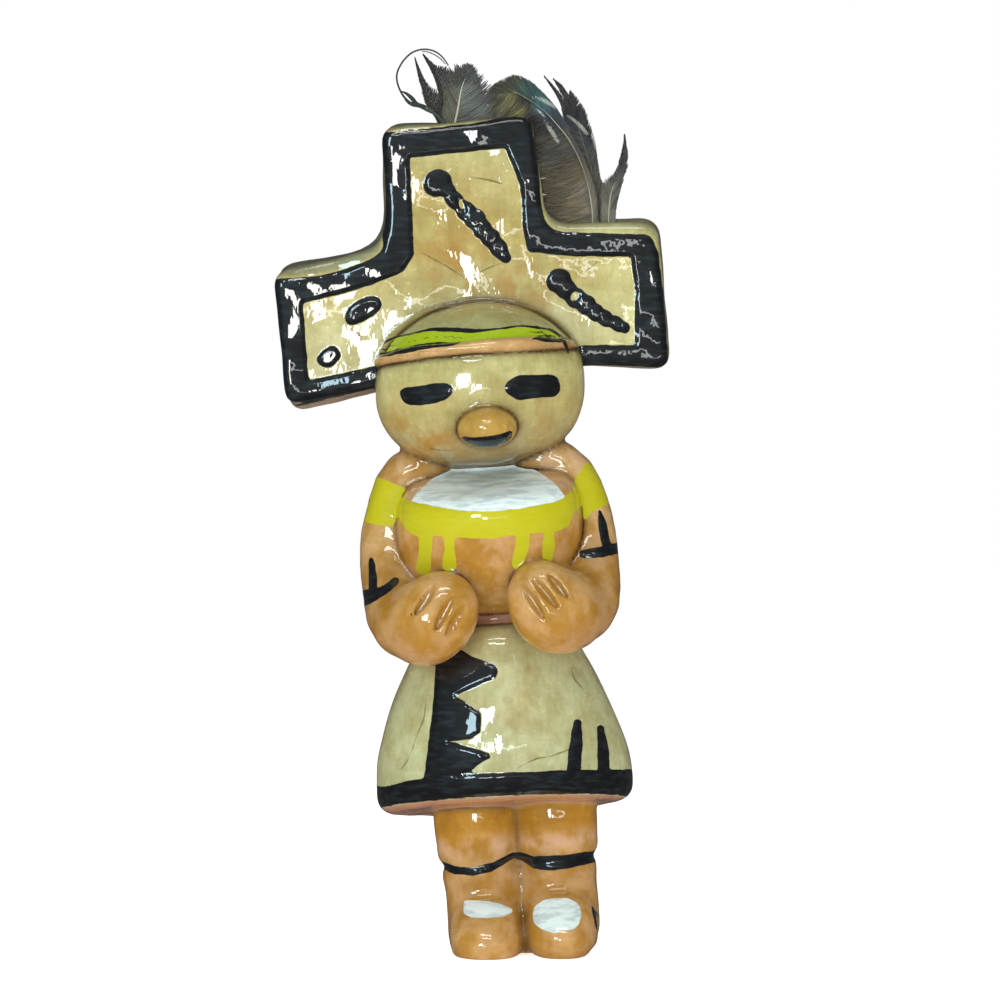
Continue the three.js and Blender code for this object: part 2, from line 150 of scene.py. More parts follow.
def path_gap(points: Array, path: Array, radii: Array) -> Array:
    """Least of |p - (a + t (b - a))| - r(t) over the path's pieces a to b, with t in 0 to 1."""
    path, radii = np.asarray(path, float), np.asarray(radii, float)
    best = np.full(len(points), np.inf)
    for a, b, at_a, at_b in zip(path[:-1], path[1:], radii[:-1], radii[1:]):
        piece = b - a
        away = points - a
        t = np.clip(away @ piece / max(piece @ piece, 1e-12), 0, 1)
        gap = np.linalg.norm(away - t[:, None] * piece, axis=1) - (at_a + t * (at_b - at_a))
        np.minimum(best, gap, out=best)
    return best


def outline_gap(points: Array, outline: Array) -> Array:
    """Distance from a closed flat outline, negative inside, where a ray crosses it oddly often."""
    outline = np.asarray(outline, float)
    best = np.full(len(points), np.inf)
    inside = np.zeros(len(points), bool)
    for a, b in zip(outline, np.roll(outline, -1, axis=0)):
        side = b - a
        away = points - a
        t = np.clip(away @ side / max(side @ side, 1e-12), 0, 1)
        best = np.minimum(best, np.sum((away - t[:, None] * side) ** 2, axis=1))
        spans = (a[1] > points[:, 1]) != (b[1] > points[:, 1])
        rise = side[1] if abs(side[1]) > 1e-9 else 1e-9
        inside ^= spans & (points[:, 0] < a[0] + away[:, 1] / rise * side[0])
    return np.where(inside, -1.0, 1.0) * np.sqrt(best)


def line_offset(points: Array, path: Array) -> tuple[Array, Array, Array]:
    """Signed distance to the nearest piece of a flat path, positive on its left.

    Args:
        points: Flat points.
        path: The path's corners.

    Returns:
        The signed distance, the share of the path's length at the nearest place, and how far
        the point lies beyond the path's ends.
    """
    path = np.asarray(path, float)
    lengths = np.linalg.norm(np.diff(path, axis=0), axis=1)
    run = np.concatenate([[0], np.cumsum(lengths)])
    best = np.full(len(points), np.inf)
    signed, share, past = (np.zeros(len(points)) for _ in range(3))
    for k, (a, b) in enumerate(zip(path[:-1], path[1:])):
        piece, away = b - a, points - a
        t = away @ piece / lengths[k] ** 2
        held = np.clip(t, 0, 1)
        gap = np.linalg.norm(away - held[:, None] * piece, axis=1)
        closer = gap < best
        best = np.where(closer, gap, best)
        side = np.sign(piece[0] * away[:, 1] - piece[1] * away[:, 0])
        signed = np.where(closer, side * gap, signed)
        share = np.where(closer, (run[k] + held * lengths[k]) / run[-1], share)
        past = np.where(closer, np.abs(t - held) * lengths[k], past)
    return signed, share, past


def rounded_outline(corners: Array, reaches: Array, turns: int = 7) -> Array:
    """An outline whose corner c, reached from p and left for n, is (1-t)^2 p + 2t(1-t) c + t^2 n."""
    corners = np.asarray(corners, float)
    reaches = np.asarray(reaches, float)[:, None]

    def toward(other: Array) -> Array:
        """The point `reach` along the side from each corner to its neighbour."""
        side = other - corners
        return corners + side / np.linalg.norm(side, axis=1, keepdims=True) * reaches

    before, after = toward(np.roll(corners, 1, axis=0)), toward(np.roll(corners, -1, axis=0))
    t = np.linspace(0, 1, turns)[None, :, None]
    bends = ((1 - t) ** 2 * before[:, None] + 2 * t * (1 - t) * corners[:, None]
             + t**2 * after[:, None])
    return bends.reshape(-1, 2)


def ripples(points: Array, wavelength: float, seed: int, waves: int = 12) -> Array:
    """Gentle unevenness from about -1 to 1: the mean of sines whose lengths and ways vary."""
    rng = np.random.default_rng(seed)
    ways = rng.normal(size=(waves, 3))
    ways /= np.linalg.norm(ways, axis=1, keepdims=True)
    rates = 2 * np.pi / (wavelength * rng.uniform(0.7, 1.5, waves))
    phases = rng.uniform(0, 2 * np.pi, waves)
    total = np.zeros(len(points))
    for way, rate, phase in zip(ways, rates, phases):
        total += np.sin(points @ way * rate + phase)
    return total / np.sqrt(waves / 2) / 1.6


# ---- Forms of clay, each known by how far a point lies outside it ----


class Form(abc.ABC):
    """A form of clay. Its gap at a point is the distance outside it, negative within."""

    @abc.abstractmethod
    def gap(self, points: Array) -> Array:
        """The gap at each upright point, in millimetres."""

    @abc.abstractmethod
    def box(self) -> tuple[Array, Array]:
        """The lowest and highest corners of a box round the form."""

    def near_gap(self, points: Array, reach: float = 5.0) -> Array:
        """The gap within `reach` of the form's box, and `reach` anywhere further off."""
        low, high = self.box()
        near = np.all((points > low - reach) & (points < high + reach), axis=1)
        gaps = np.full(len(points), reach)
        gaps[near] = np.minimum(self.gap(points[near]), reach)
        return gaps


@dataclass(frozen=True)
class Level:
    """One level oval of a Stack: its height, half widths, centre, squareness and tilt."""

    z: float
    rx: float
    ry: float
    x: float = 0.0
    y: float = 0.0
    square: float = 2.0
    back_drop: float = 0.0
    side_drop: float = 0.0


@dataclass(frozen=True)
class Stack(Form):
    """A form whose section at each height is an oval, eased from one level to the next.

    Attributes:
        levels: The ovals, from the lowest up.
        end_round: Radius of the rounding at the two ends.
    """

    levels: tuple[Level, ...]
    end_round: float = 1.5

    def _table(self) -> Array:
        """The levels as rows of numbers, height first."""
        return np.array([[v.z, v.rx, v.ry, v.x, v.y, v.square, v.back_drop, v.side_drop]
                         for v in self.levels])

    def height_of(self, points: Array) -> tuple[Array, Array]:
        """The height on the stack's own tilted levels, and the level's row there."""
        table = self._table()
        x, y, z = points.T
        height = z
        for _ in range(3):
            row = eased(table[:, 0], table[:, 1:], np.clip(height, table[0, 0], table[-1, 0]))
            height = z + row[:, 5] * (y - row[:, 3]) + row[:, 6] * (x - row[:, 2])
        return height, row

    def gap(self, points: Array) -> Array:
        """q - 1 over the steepness of q, for q = (|x/rx|^s + |y/ry|^s)^(1/s), capped at the ends."""
        height, row = self.height_of(points)
        rx, ry, cx, cy, square = row[:, :5].T
        u = np.abs(points[:, 0] - cx) / rx + 1e-6
        v = np.abs(points[:, 1] - cy) / ry + 1e-6
        q = (u**square + v**square) ** (1 / square)
        steep = np.hypot((u / q) ** (square - 1) / rx, (v / q) ** (square - 1) / ry)
        side = (q - 1) / steep
        top = smooth_most(side, height - self.levels[-1].z, 2 * self.end_round)
        return smooth_most(top, self.levels[0].z - height, 2 * self.end_round)

    def box(self) -> tuple[Array, Array]:
        """Box from the widest level, with room for the tilt."""
        table = self._table()
        room = np.max(np.abs(table[:, 6]) * table[:, 2] + np.abs(table[:, 7]) * table[:, 1])
        low = [np.min(table[:, 3] - table[:, 1]), np.min(table[:, 4] - table[:, 2])]
        high = [np.max(table[:, 3] + table[:, 1]), np.max(table[:, 4] + table[:, 2])]
        return (np.array([*low, table[0, 0] - room]), np.array([*high, table[-1, 0] + room]))


@dataclass(frozen=True)
class Ball(Form):
    """A ball drawn out along X, Y and Z, whose lower half may be squarer than an egg's."""

    centre: tuple[float, float, float]
    half: tuple[float, float, float]
    jowl: float = 2.0

    def gap(self, points: Array) -> Array:
        """q - 1 over its steepness, for q = (r^p + |w|^p)^(1/p), with p the jowl below."""
        u, v, w = ((points - self.centre) / self.half).T
        r = np.hypot(u, v) + 1e-6
        w_size = np.abs(w) + 1e-6
        p = np.where(w < 0, self.jowl, 2.0)
        q = (r**p + w_size**p) ** (1 / p)
        a, b, c = self.half
        across = (r / q) ** (p - 1) * np.hypot(u / a, v / b) / r
        return (q - 1) / np.hypot(across, (w_size / q) ** (p - 1) / c)

    def box(self) -> tuple[Array, Array]:
        """Box from the centre and half sizes."""
        centre, half = np.array(self.centre), np.array(self.half)
        return centre - half, centre + half


@dataclass(frozen=True)
class Roll(Form):
    """A roll of clay along a smooth path, its radius eased between evenly spread values."""

    corners: tuple[tuple[float, float, float], ...]
    radii: tuple[float, ...]
    pieces: int = 18

    def gap(self, points: Array) -> Array:
        """Distance from the path less the radius there."""
        path = smooth_path(np.array(self.corners), self.pieces + 1)
        places = np.linspace(0, 1, len(self.radii))
        radii = eased(places, np.array(self.radii), np.linspace(0, 1, self.pieces + 1))
        end = path[1] - path[0]
        path[0] += end / np.linalg.norm(end) * radii[0] * 0.9
        end = path[-2] - path[-1]
        path[-1] += end / np.linalg.norm(end) * radii[-1] * 0.9
        return path_gap(points, path, radii)

    def box(self) -> tuple[Array, Array]:
        """Box round the corners, widened by the largest radius."""
        corners, room = np.array(self.corners), max(self.radii) + 1
        return corners.min(0) - room, corners.max(0) + room


@dataclass(frozen=True)
class Mitten(Form):
    """An egg of clay with its own three axes, for a hand."""

    centre: tuple[float, float, float]
    axes: tuple[tuple[float, float, float], ...]
    half: tuple[float, float, float]

    def local(self, points: Array) -> Array:
        """Points along the fingers, across them and out of the back, over the half sizes."""
        return (points - self.centre) @ np.array(self.axes).T / self.half

    def at(self, u: Array, v: Array, w: Array) -> Array:
        """The point at shares u, v, w of the half sizes along the three axes."""
        shares = np.stack([u, v, w], axis=1) * self.half
        return shares @ np.array(self.axes) + self.centre

    def gap(self, points: Array) -> Array:
        """q - 1 over its steepness, for q the length of the local point."""
        local = self.local(points)
        q = np.linalg.norm(local, axis=1) + 1e-6
        return (q - 1) / (np.linalg.norm(local / self.half, axis=1) / q)

    def box(self) -> tuple[Array, Array]:
        """Box of the largest half size each way."""
        room = max(self.half)
        return np.array(self.centre) - room, np.array(self.centre) + room


@dataclass(frozen=True)
class SteppedSlab(Form):
    """The headdress: a slab with two arms and a top block, soft-edged, leaning a little forward."""

    corners: tuple[tuple[float, float], ...] = (
        (-34.6, 100.9), (-17, 103.7), (18, 105.5), (35.6, 104), (35.6, 131.8), (14.8, 132.4),
        (13.7, 152), (-13.4, 152), (-15.2, 130.4), (-34.6, 128.4),
    )
    reaches: tuple[float, ...] = (3.8, 3.8, 3.8, 3.8, 3.8, 6, 3.8, 3.8, 6, 3.8)
    front_corners: tuple[tuple[float, float], ...] = (
        (-34.9, 102.4), (-17, 104.6), (18, 105.6), (35.2, 103.8), (34.9, 129.6), (14.9, 131.2),
        (13.6, 151.0), (-13.3, 150.8), (-14.2, 129.6), (-35.1, 126.2),
    )
    thickness: float = 7.6
    back: float = 7.2
    foot: float = 103.0
    forward_lean: float = np.radians(4)
    edge_round: float = 1.15

    def middle(self, z: Array) -> Array:
        """The y of the slab's middle plane at height z."""
        return self.back - self.thickness / 2 - (z - self.foot) * np.tan(self.forward_lean)

    def gap(self, points: Array) -> Array:
        """Distances from the outline and the faces, joined by a quarter circle at the edge.

        The outline's distance goes evenly from the back outline's to the smaller front one's,
        so the cut edge shows all round the face.
        """
        x, y, z = points.T
        flat_place = np.stack([x, z], axis=1)
        share = np.clip((self.middle(z) - y) / self.thickness + 0.5, 0, 1)
        back = outline_gap(flat_place, rounded_outline(self.corners, self.reaches))
        front = outline_gap(flat_place, rounded_outline(
            self.front_corners, np.array(self.reaches) * 0.7))
        flat = back * (1 - share) + front * share + self.edge_round
        deep = np.abs(y - self.middle(z)) - self.thickness / 2 + self.edge_round
        outside = np.hypot(np.maximum(flat, 0), np.maximum(deep, 0))
        return np.minimum(np.maximum(flat, deep), 0) + outside - self.edge_round

    def box(self) -> tuple[Array, Array]:
        """Box round the corners and the leaning thickness."""
        corners = np.array(self.corners)
        low, high = corners.min(0), corners.max(0)
        front = self.middle(high[1]) - self.thickness / 2
        return np.array([low[0], front, low[1]]), np.array([high[0], self.back + 0.5, high[1]])


@dataclass(frozen=True)
class PotDrum(Form):
    """The pot drum: a turned profile of (share of radius, drop), flattened and tilted back."""

    centre: tuple[float, float, float] = (0.6, -9.4, 85.2)
    tilt: float = np.radians(18.5)
    radius: float = 16.6
    flatten: float = 0.78
    profile: tuple[tuple[float, float], ...] = (
        (0, 0.3), (0.7, 0.1), (0.84, -0.5), (0.92, -1.6), (0.97, -3.4), (1, -7), (1, -11),
        (0.97, -14), (0.88, -17.4), (0.7, -20.6), (0.42, -23.4), (0, -25),
    )

    def gap(self, points: Array) -> Array:
        """Distance from the mirrored profile in (r, t), for r and t across and along the axis."""
        x, y, z = (points - self.centre).T
        c, s = np.cos(self.tilt), np.sin(self.tilt)
        deep, along = (y * c + z * s) / self.flatten, z * c - y * s
        r = np.hypot(x, deep) + 1e-6
        rows = smooth_path(np.array(self.profile) * [self.radius, 1], 44)
        rows = np.concatenate([rows, (rows * [-1, 1])[::-1][1:-1]])
        gap = outline_gap(np.stack([r, along], axis=1), rows)
        return gap * np.hypot(x / r, self.flatten * deep / r)

    def box(self) -> tuple[Array, Array]:
        """Box round the tilted pot."""
        x, y, z = self.centre
        return np.array([x - 17, y - 15, z - 29]), np.array([x + 17, y + 20, z + 6])


# ---- The clay body ----


@dataclass(frozen=True)
class HandSize:
    """A pressed mitten hand, its slant and the grooves between its fingers."""

    half: tuple[float, float, float] = (8.0, 7.0, 5.4)
    y: float = -17.6
    z: float = 62.8
    reach: float = 9.7
    slant: float = np.radians(50)
    groove: float = 0.7

    LEFT_GROOVES = (((-9.9, 67.6), (-14.3, 61.9)), ((-6.9, 65.4), (-10.9, 59.2)),
                    ((-4.9, 63.7), (-8.8, 58.6)))
    RIGHT_GROOVES = (((5.5, 66.6), (9.0, 60.6)), ((7.6, 67.5), (11.6, 62.0)),
                     ((10.3, 68.0), (13.4, 63.4)))

    def mitten(self, side: int) -> Mitten:
        """The mitten of side -1 or 1, fingers up and inward, its back outward and forward."""
        fingers = np.array([-side * np.cos(self.slant), -0.08, np.sin(self.slant)])
        fingers /= np.linalg.norm(fingers)
        out = np.array([side * 0.18, -1, 0])
        out -= fingers * (out @ fingers)
        out /= np.linalg.norm(out)
        axes = tuple(map(tuple, (fingers, np.cross(out, fingers), out)))
        return Mitten((side * self.reach + 0.1, self.y, self.z), axes, self.half)

    def grooves(self, side: int) -> list[Array]:
        """The grooves between four fingers, laid on the mitten's front.

        Each runs straight as it looks from the front. Its depth is the nearer root of
        |local(p + t d)| = 1 for d straight back.
        """
        mitten = self.mitten(side)
        paths = []
        for start, end in (self.LEFT_GROOVES if side < 0 else self.RIGHT_GROOVES):
            run = np.linspace(0, 1, 6)[:, None]
            flat = np.array(start) * (1 - run) + np.array(end) * run
            near = np.stack([flat[:, 0], np.full(6, -40.0), flat[:, 1]], axis=1)
            from_near, back = mitten.local(near), mitten.local(near + [0, 1, 0])
            step = back - from_near
            a, b = np.sum(step * step, 1), np.sum(step * from_near, 1)
            c = np.sum(from_near * from_near, 1) - 1
            near[:, 1] += (-b - np.sqrt(np.maximum(b * b - a * c, 0))) / a
            paths.append(near)
        return paths


class ClayBody:
    """The whole clay figure: its forms, how softly each is pressed on, its skin and its paint."""

    NODE = "clay_figure"

    def __init__(self) -> None:
        """Sets out every form and the radius of the clay pressed into its joint."""
        self.hand = HandSize()
        self.slab = SteppedSlab()
        self.skirt = self._skirt()
        head = (0.8, -1.4, 103.4)
        self.forms: dict[str, Form] = {
            "slab": self.slab,
            "head": Ball(head, (18.9, 13.4, 15.0), jowl=2.35),
            "lip": Roll(self._arch(17.3, -2.0, 107.2, 9.7, 1.4, head[0] - 0.3),
                        (1.05, 1.5, 1.5, 1.5, 1.05), 26),
            "snout": Ball((1.5, -13.6, 94.8), (5.3, 5.6, 3.7)),
            "coil": Roll(self._brow_coil(head), (1.1, 1.2, 1.2, 1.1), 26),
            "torso": Stack((
                Level(55, 13, 10, 0.6, 0.5), Level(59, 12.2, 9.6, 0.6, 0.8),
                Level(66, 13.4, 9.4, 0.4, 1.4), Level(76, 15.2, 8.2, 0.2, 2.6),
                Level(84, 15.4, 6.2, 0.2, 3.4), Level(91, 13, 5.4, 0.2, 3.2),
                Level(95, 10, 5.4, 0.2, 1.0))),
            "drum": PotDrum(),
            "skirt": self.skirt,
        }
        for side, name in ((-1, "left"), (1, "right")):
            self.forms[f"{name}_arm"] = self._arm(side)
            self.forms[f"{name}_hand"] = self.hand.mitten(side)
            self.forms[f"{name}_leg"] = self._leg(side)
            self.forms[f"{name}_foot"] = self._foot(side)
        self.forms["instep"] = Stack((
            Level(-2, 4, 5, 0.6, 1.6), Level(4.2, 3.6, 4.5, 0.6, 1.6), Level(7, 2.4, 3, 0.6, 1.6)))
        self.pressed = {"slab": 1.0, "head": 0.7, "lip": 0.8, "snout": 0.9, "coil": 0.35,
                        "torso": 1.5, "drum": 0.8, "skirt": 0.8, "left_arm": 1.3,
                        "right_arm": 1.3, "left_leg": 1.2, "left_foot": 1.5,
                        "right_foot": 1.5, "instep": 1.5}

    @staticmethod
    def _arch(half: float, y: float, foot: float, rise: float, out: float,
              x: float) -> tuple[tuple[float, float, float], ...]:
        """Half an ellipse standing over the crown: (-half cos a, y - out sin a, foot + rise sin a)."""
        a = np.linspace(0, np.pi, 11)
        rows = np.stack([x - half * np.cos(a), y - out * np.sin(a), foot + rise * np.sin(a)], 1)
        return tuple(map(tuple, rows))

    @staticmethod
    def _brow_coil(head: tuple[float, float, float]) -> tuple[tuple[float, float, float], ...]:
        """Half a level ellipse round the brow, a little proud of the head at that height."""
        share = np.sqrt(1 - ((108.2 - head[2]) / 15.0) ** 2)
        a = np.linspace(0, 0.97 * np.pi, 11)
        half = 18.9 * share + 0.2 - 1.1 * ramp(0, np.pi, a)
        rows = np.stack([head[0] - half * np.cos(a), head[1] - (13.4 * share + 0.2) * np.sin(a),
                         108.6 + 0.9 * np.sin(a)], 1)
        return tuple(map(tuple, rows))

    @staticmethod
    def _skirt() -> Stack:
        """The flaring skirt, whose hem hangs lower at the back."""
        rows = ((0, 0.99, 1), (0.14, 1, 0.95), (0.25, 0.985, 0.8), (0.4, 0.935, 0.6),
                (0.6, 0.83, 0.3), (0.8, 0.69, 0.1), (0.94, 0.57, 0), (1, 0.48, 0))
        return Stack(tuple(
            Level(26.3 + 33.7 * up, 23.3 * wide, 15.8 * wide + 3.2 * up, 0.5 * (up - 1), 0.3,
                  back_drop=0.17 * tilt, side_drop=0.03 * tilt) for up, wide, tilt in rows), 1.6)

    @staticmethod
    def _arm(side: int) -> Roll:
        """Shoulder, upper arm, elbow and forearm in one roll."""
        spread = 0.965 if side < 0 else 0.955
        points = ((8.6, 0.6, 89.2), (15, -0.4, 86), (18.7, -2.6, 77.4), (18.8, -6.6, 68.6),
                  (16.8, -12.2, 61.8), (12.4, -16, 60.4), (9.8, -17, 62))
        share = (1, 1.05, 1, 1, 1.1, 1.2, 1)
        return Roll(tuple((side * x * spread, y, z) for x, y, z in points),
                    tuple(5 * s for s in share), 16)

    @staticmethod
    def _leg(side: int) -> Stack:
        """A short round leg that swells above its garter line."""
        rows = ((2, 0.9, -0.4), (12, 0.95, -0.3), (15.4, 0.96, -0.2), (16.4, 0.92, -0.2),
                (17.8, 1.0, 0), (20.6, 1.05, 0), (31.6, 1.02, 0))
        return Stack(tuple(Level(z, 7.2 * wide, 7.4 * wide, 1.1 + side * (7.2 + out), 1, 2.3)
                           for z, wide, out in rows))

    @staticmethod
    def _foot(side: int) -> Stack:
        """A stubby foot with a round toe, running below the floor where its sole is cut."""
        rows = ((-2, 0.74, 2.4, 1), (-0.2, 0.82, 1.6, 0.6), (1, 0.95, 0.6, 0.2), (2.6, 1, 0, 0),
                (4.6, 1.01, 0.5, 0), (6.6, 0.98, 2, 0), (9, 0.93, 4.6, 0.6), (11.4, 0.86, 7.6, 1.4))
        return Stack(tuple(
            Level(z, 6.7 * wide, (22.8 - front - heel) / 2, 1.1 + side * 6.7,
                  (-6.4 + front - heel) / 2, 2.3) for z, wide, front, heel in rows))

    def gaps(self, upright: Array) -> dict[str, Array]:
        """Every form's own gap at each upright point."""
        return {name: form.near_gap(upright) for name, form in self.forms.items()}

    def field(self, standing: Array) -> Array:
        """The joined figure's gap at standing points.

        Args:
            standing: Points on the leaning figure, in millimetres.

        Returns:
            The soft least of the forms' gaps, with the unevenness of hand pressing added, the
            finger grooves taken out and everything below the floor cut away.
        """
        upright = to_upright(standing)
        whole = np.full(len(standing), 5.0)
        gaps = self.gaps(upright)
        for side in ("left", "right"):
            gaps[f"{side}_arm"] = smooth_least(gaps[f"{side}_arm"], gaps.pop(f"{side}_hand"), 4.5)
        gaps["left_leg"] = smooth_least(gaps["left_leg"], gaps.pop("right_leg"), 3.6)
        for name, gap in gaps.items():
            whole = smooth_least(whole, gap, self.pressed[name])
        near = np.abs(whole) < 3
        close = upright[near]
        whole[near] += 0.20 * ripples(close, 17, 3) + 0.07 * ripples(close, 6.5, 8)
        radii = np.array([0.5, 0.9, 1.1, 1, 0.7, 0.25]) * self.hand.groove
        for side in (-1, 1):
            spot = np.abs(upright - [side * 9.7, -20, 63]).max(axis=1) < 12
            part = whole[spot]
            for path in self.hand.grooves(side):
                part = smooth_most(part, -path_gap(upright[spot], path, radii), 0.35)
            whole[spot] = part
        return smooth_most(whole, -standing[:, 2], 0.5)

    def slope(self, standing: Array, step: float = 0.12) -> Array:
        """The field's slope from four probes k at the corners of a tetrahedron: sum of k f / 4e."""
        total = np.zeros_like(standing)
        for k in ((1, -1, -1), (-1, -1, 1), (-1, 1, -1), (1, 1, 1)):
            way = np.array(k, float)
            total += way * self.field(standing + way * step)[:, None]
        return total / (4 * step)

    def skin(self) -> tuple[Array, Array]:
        """The figure's skin on an even net, each point then settled onto the field's zero.

        Returns:
            The points (standing, in millimetres) and the quads.
        """
        low, high = (np.array(corner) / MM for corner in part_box(self.NODE))
        low, high = low - 1.6, high + 1.6
        axes = [np.arange(a, b + NET_STEP, NET_STEP) for a, b in zip(low, high)]
        shape = tuple(len(axis) for axis in axes)
        grid = np.stack(np.meshgrid(*axes, indexing="ij"), axis=-1).reshape(-1, 3)
        values = np.concatenate([self.field(part) for part in np.array_split(grid, 12)])
        points, quads = net_skin(values.reshape(shape), low, NET_STEP)
        for _ in range(2):
            slope = self.slope(points)
            size = np.maximum(np.sum(slope * slope, axis=1), 0.2)
            shift = -slope * (self.field(points) / size)[:, None]
            points = points + np.clip(shift, -0.5 * NET_STEP, 0.5 * NET_STEP)
        points[:, 2] = np.maximum(points[:, 2], 0)
        return points, quads

    def build(self) -> bpy.types.Object:
        """Makes the clay piece, with its paint as values on its points."""
        points, quads = self.skin()
        slope = self.slope(points)
        out = slope / np.linalg.norm(slope, axis=1, keepdims=True)
        obj = piece_of("glazed_clay_figure", points, quads)
        coats = ClayPaint(self, points, out).coats()
        for name, values in coats.items():
            put_values(obj.data, name, values)
        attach(obj, "root")
        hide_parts(self.NODE)
        return obj

    def dress(self, obj: bpy.types.Object) -> None:
        """Gives the clay its painted and glazed finish."""
        obj.data.materials.append(GlazedClay().material())


def net_skin(values: Array, low: Array, step: float) -> tuple[Array, Array]:
    """The closed skin where a grid of values changes sign.

    Each cell with both signs gets one point, the mean of the places where its edges cross zero
    (at a / (a - b) of an edge from a to b). Each crossing edge gets a quad through the four
    cells round it, wound so that it faces the larger value.

    Args:
        values: Gaps on a grid, negative inside.
        low: Place of the grid's first corner.
        step: The grid's spacing.

    Returns:
        The points and the quads.
    """
    cells = tuple(n - 1 for n in values.shape)
    total = np.zeros((*cells, 3))
    count = np.zeros(cells, int)
    crossings = []
    for axis in range(3):
        a = np.take(values, range(values.shape[axis] - 1), axis=axis)
        b = np.take(values, range(1, values.shape[axis]), axis=axis)
        crossed = (a < 0) != (b < 0)
        share = np.where(crossed, a / np.where(crossed, a - b, 1), 0)
        crossings.append((crossed, a < 0))
        one, two = (axis + 1) % 3, (axis + 2) % 3
        for i in (0, 1):
            for j in (0, 1):
                cut = [slice(None)] * 3
                cut[one] = slice(i, i + cells[one])
                cut[two] = slice(j, j + cells[two])
                here = crossed[tuple(cut)]
                count += here
                total[..., axis] += share[tuple(cut)]
                total[..., one] += here * i
                total[..., two] += here * j
    used = count > 0
    number = np.cumsum(used).reshape(cells) - 1
    places = np.argwhere(used) + total[used] / count[used][:, None]
    quads = []
    for axis, (crossed, inside) in enumerate(crossings):
        one, two = (axis + 1) % 3, (axis + 2) % 3
        edge = np.argwhere(crossed)
        edge = edge[(edge[:, one] > 0) & (edge[:, two] > 0)
                    & (edge[:, one] < cells[one]) & (edge[:, two] < cells[two])]
        ring = []
        for i, j in ((1, 1), (0, 1), (0, 0), (1, 0)):
            cell = edge.copy()
            cell[:, one] -= i
            cell[:, two] -= j
            ring.append(number[tuple(cell.T)])
        ring = np.stack(ring, axis=1)
        flip = ~inside[tuple(edge.T)]
        ring[flip] = ring[flip][:, ::-1]
        quads.append(ring)
    return low + places * step, np.concatenate(quads)


def piece_of(name: str, points: Array, faces: Array) -> bpy.types.Object:
    """A smooth-shaded object with its place in its mesh.

    Args:
        name: The piece's name.
        points: Standing points, in millimetres.
        faces: Rows of three or four point numbers.

    Returns:
        The new object, at the origin.
    """
    mesh = bpy.data.meshes.new(name)
    count, corners = faces.shape
    mesh.vertices.add(len(points))
    mesh.vertices.foreach_set("co", (points * MM).astype(np.float32).ravel())
    mesh.loops.add(count * corners)
    mesh.loops.foreach_set("vertex_index", faces.astype(np.int32).ravel())
    mesh.polygons.add(count)
    mesh.polygons.foreach_set("loop_start", np.arange(0, count * corners, corners, dtype=np.int32))
    mesh.update(calc_edges=True)
    mesh.validate()
    mesh.shade_smooth()
    obj = bpy.data.objects.new(name, mesh)
    bpy.context.scene.collection.objects.link(obj)
    return obj


def put_values(mesh: bpy.types.Mesh, name: str, values: Array) -> None:
    """Stores one number, or one linear RGB, on each point of a mesh."""
    if values.ndim == 1:
        layer = mesh.attributes.new(name, "FLOAT", "POINT")
        layer.data.foreach_set("value", values.astype(np.float32))
    else:
        layer = mesh.attributes.new(name, "FLOAT_COLOR", "POINT")
        full = np.concatenate([values, np.ones((len(values), 1))], axis=1)
        layer.data.foreach_set("color", full.astype(np.float32).ravel())


# ---- Paint on the clay ----


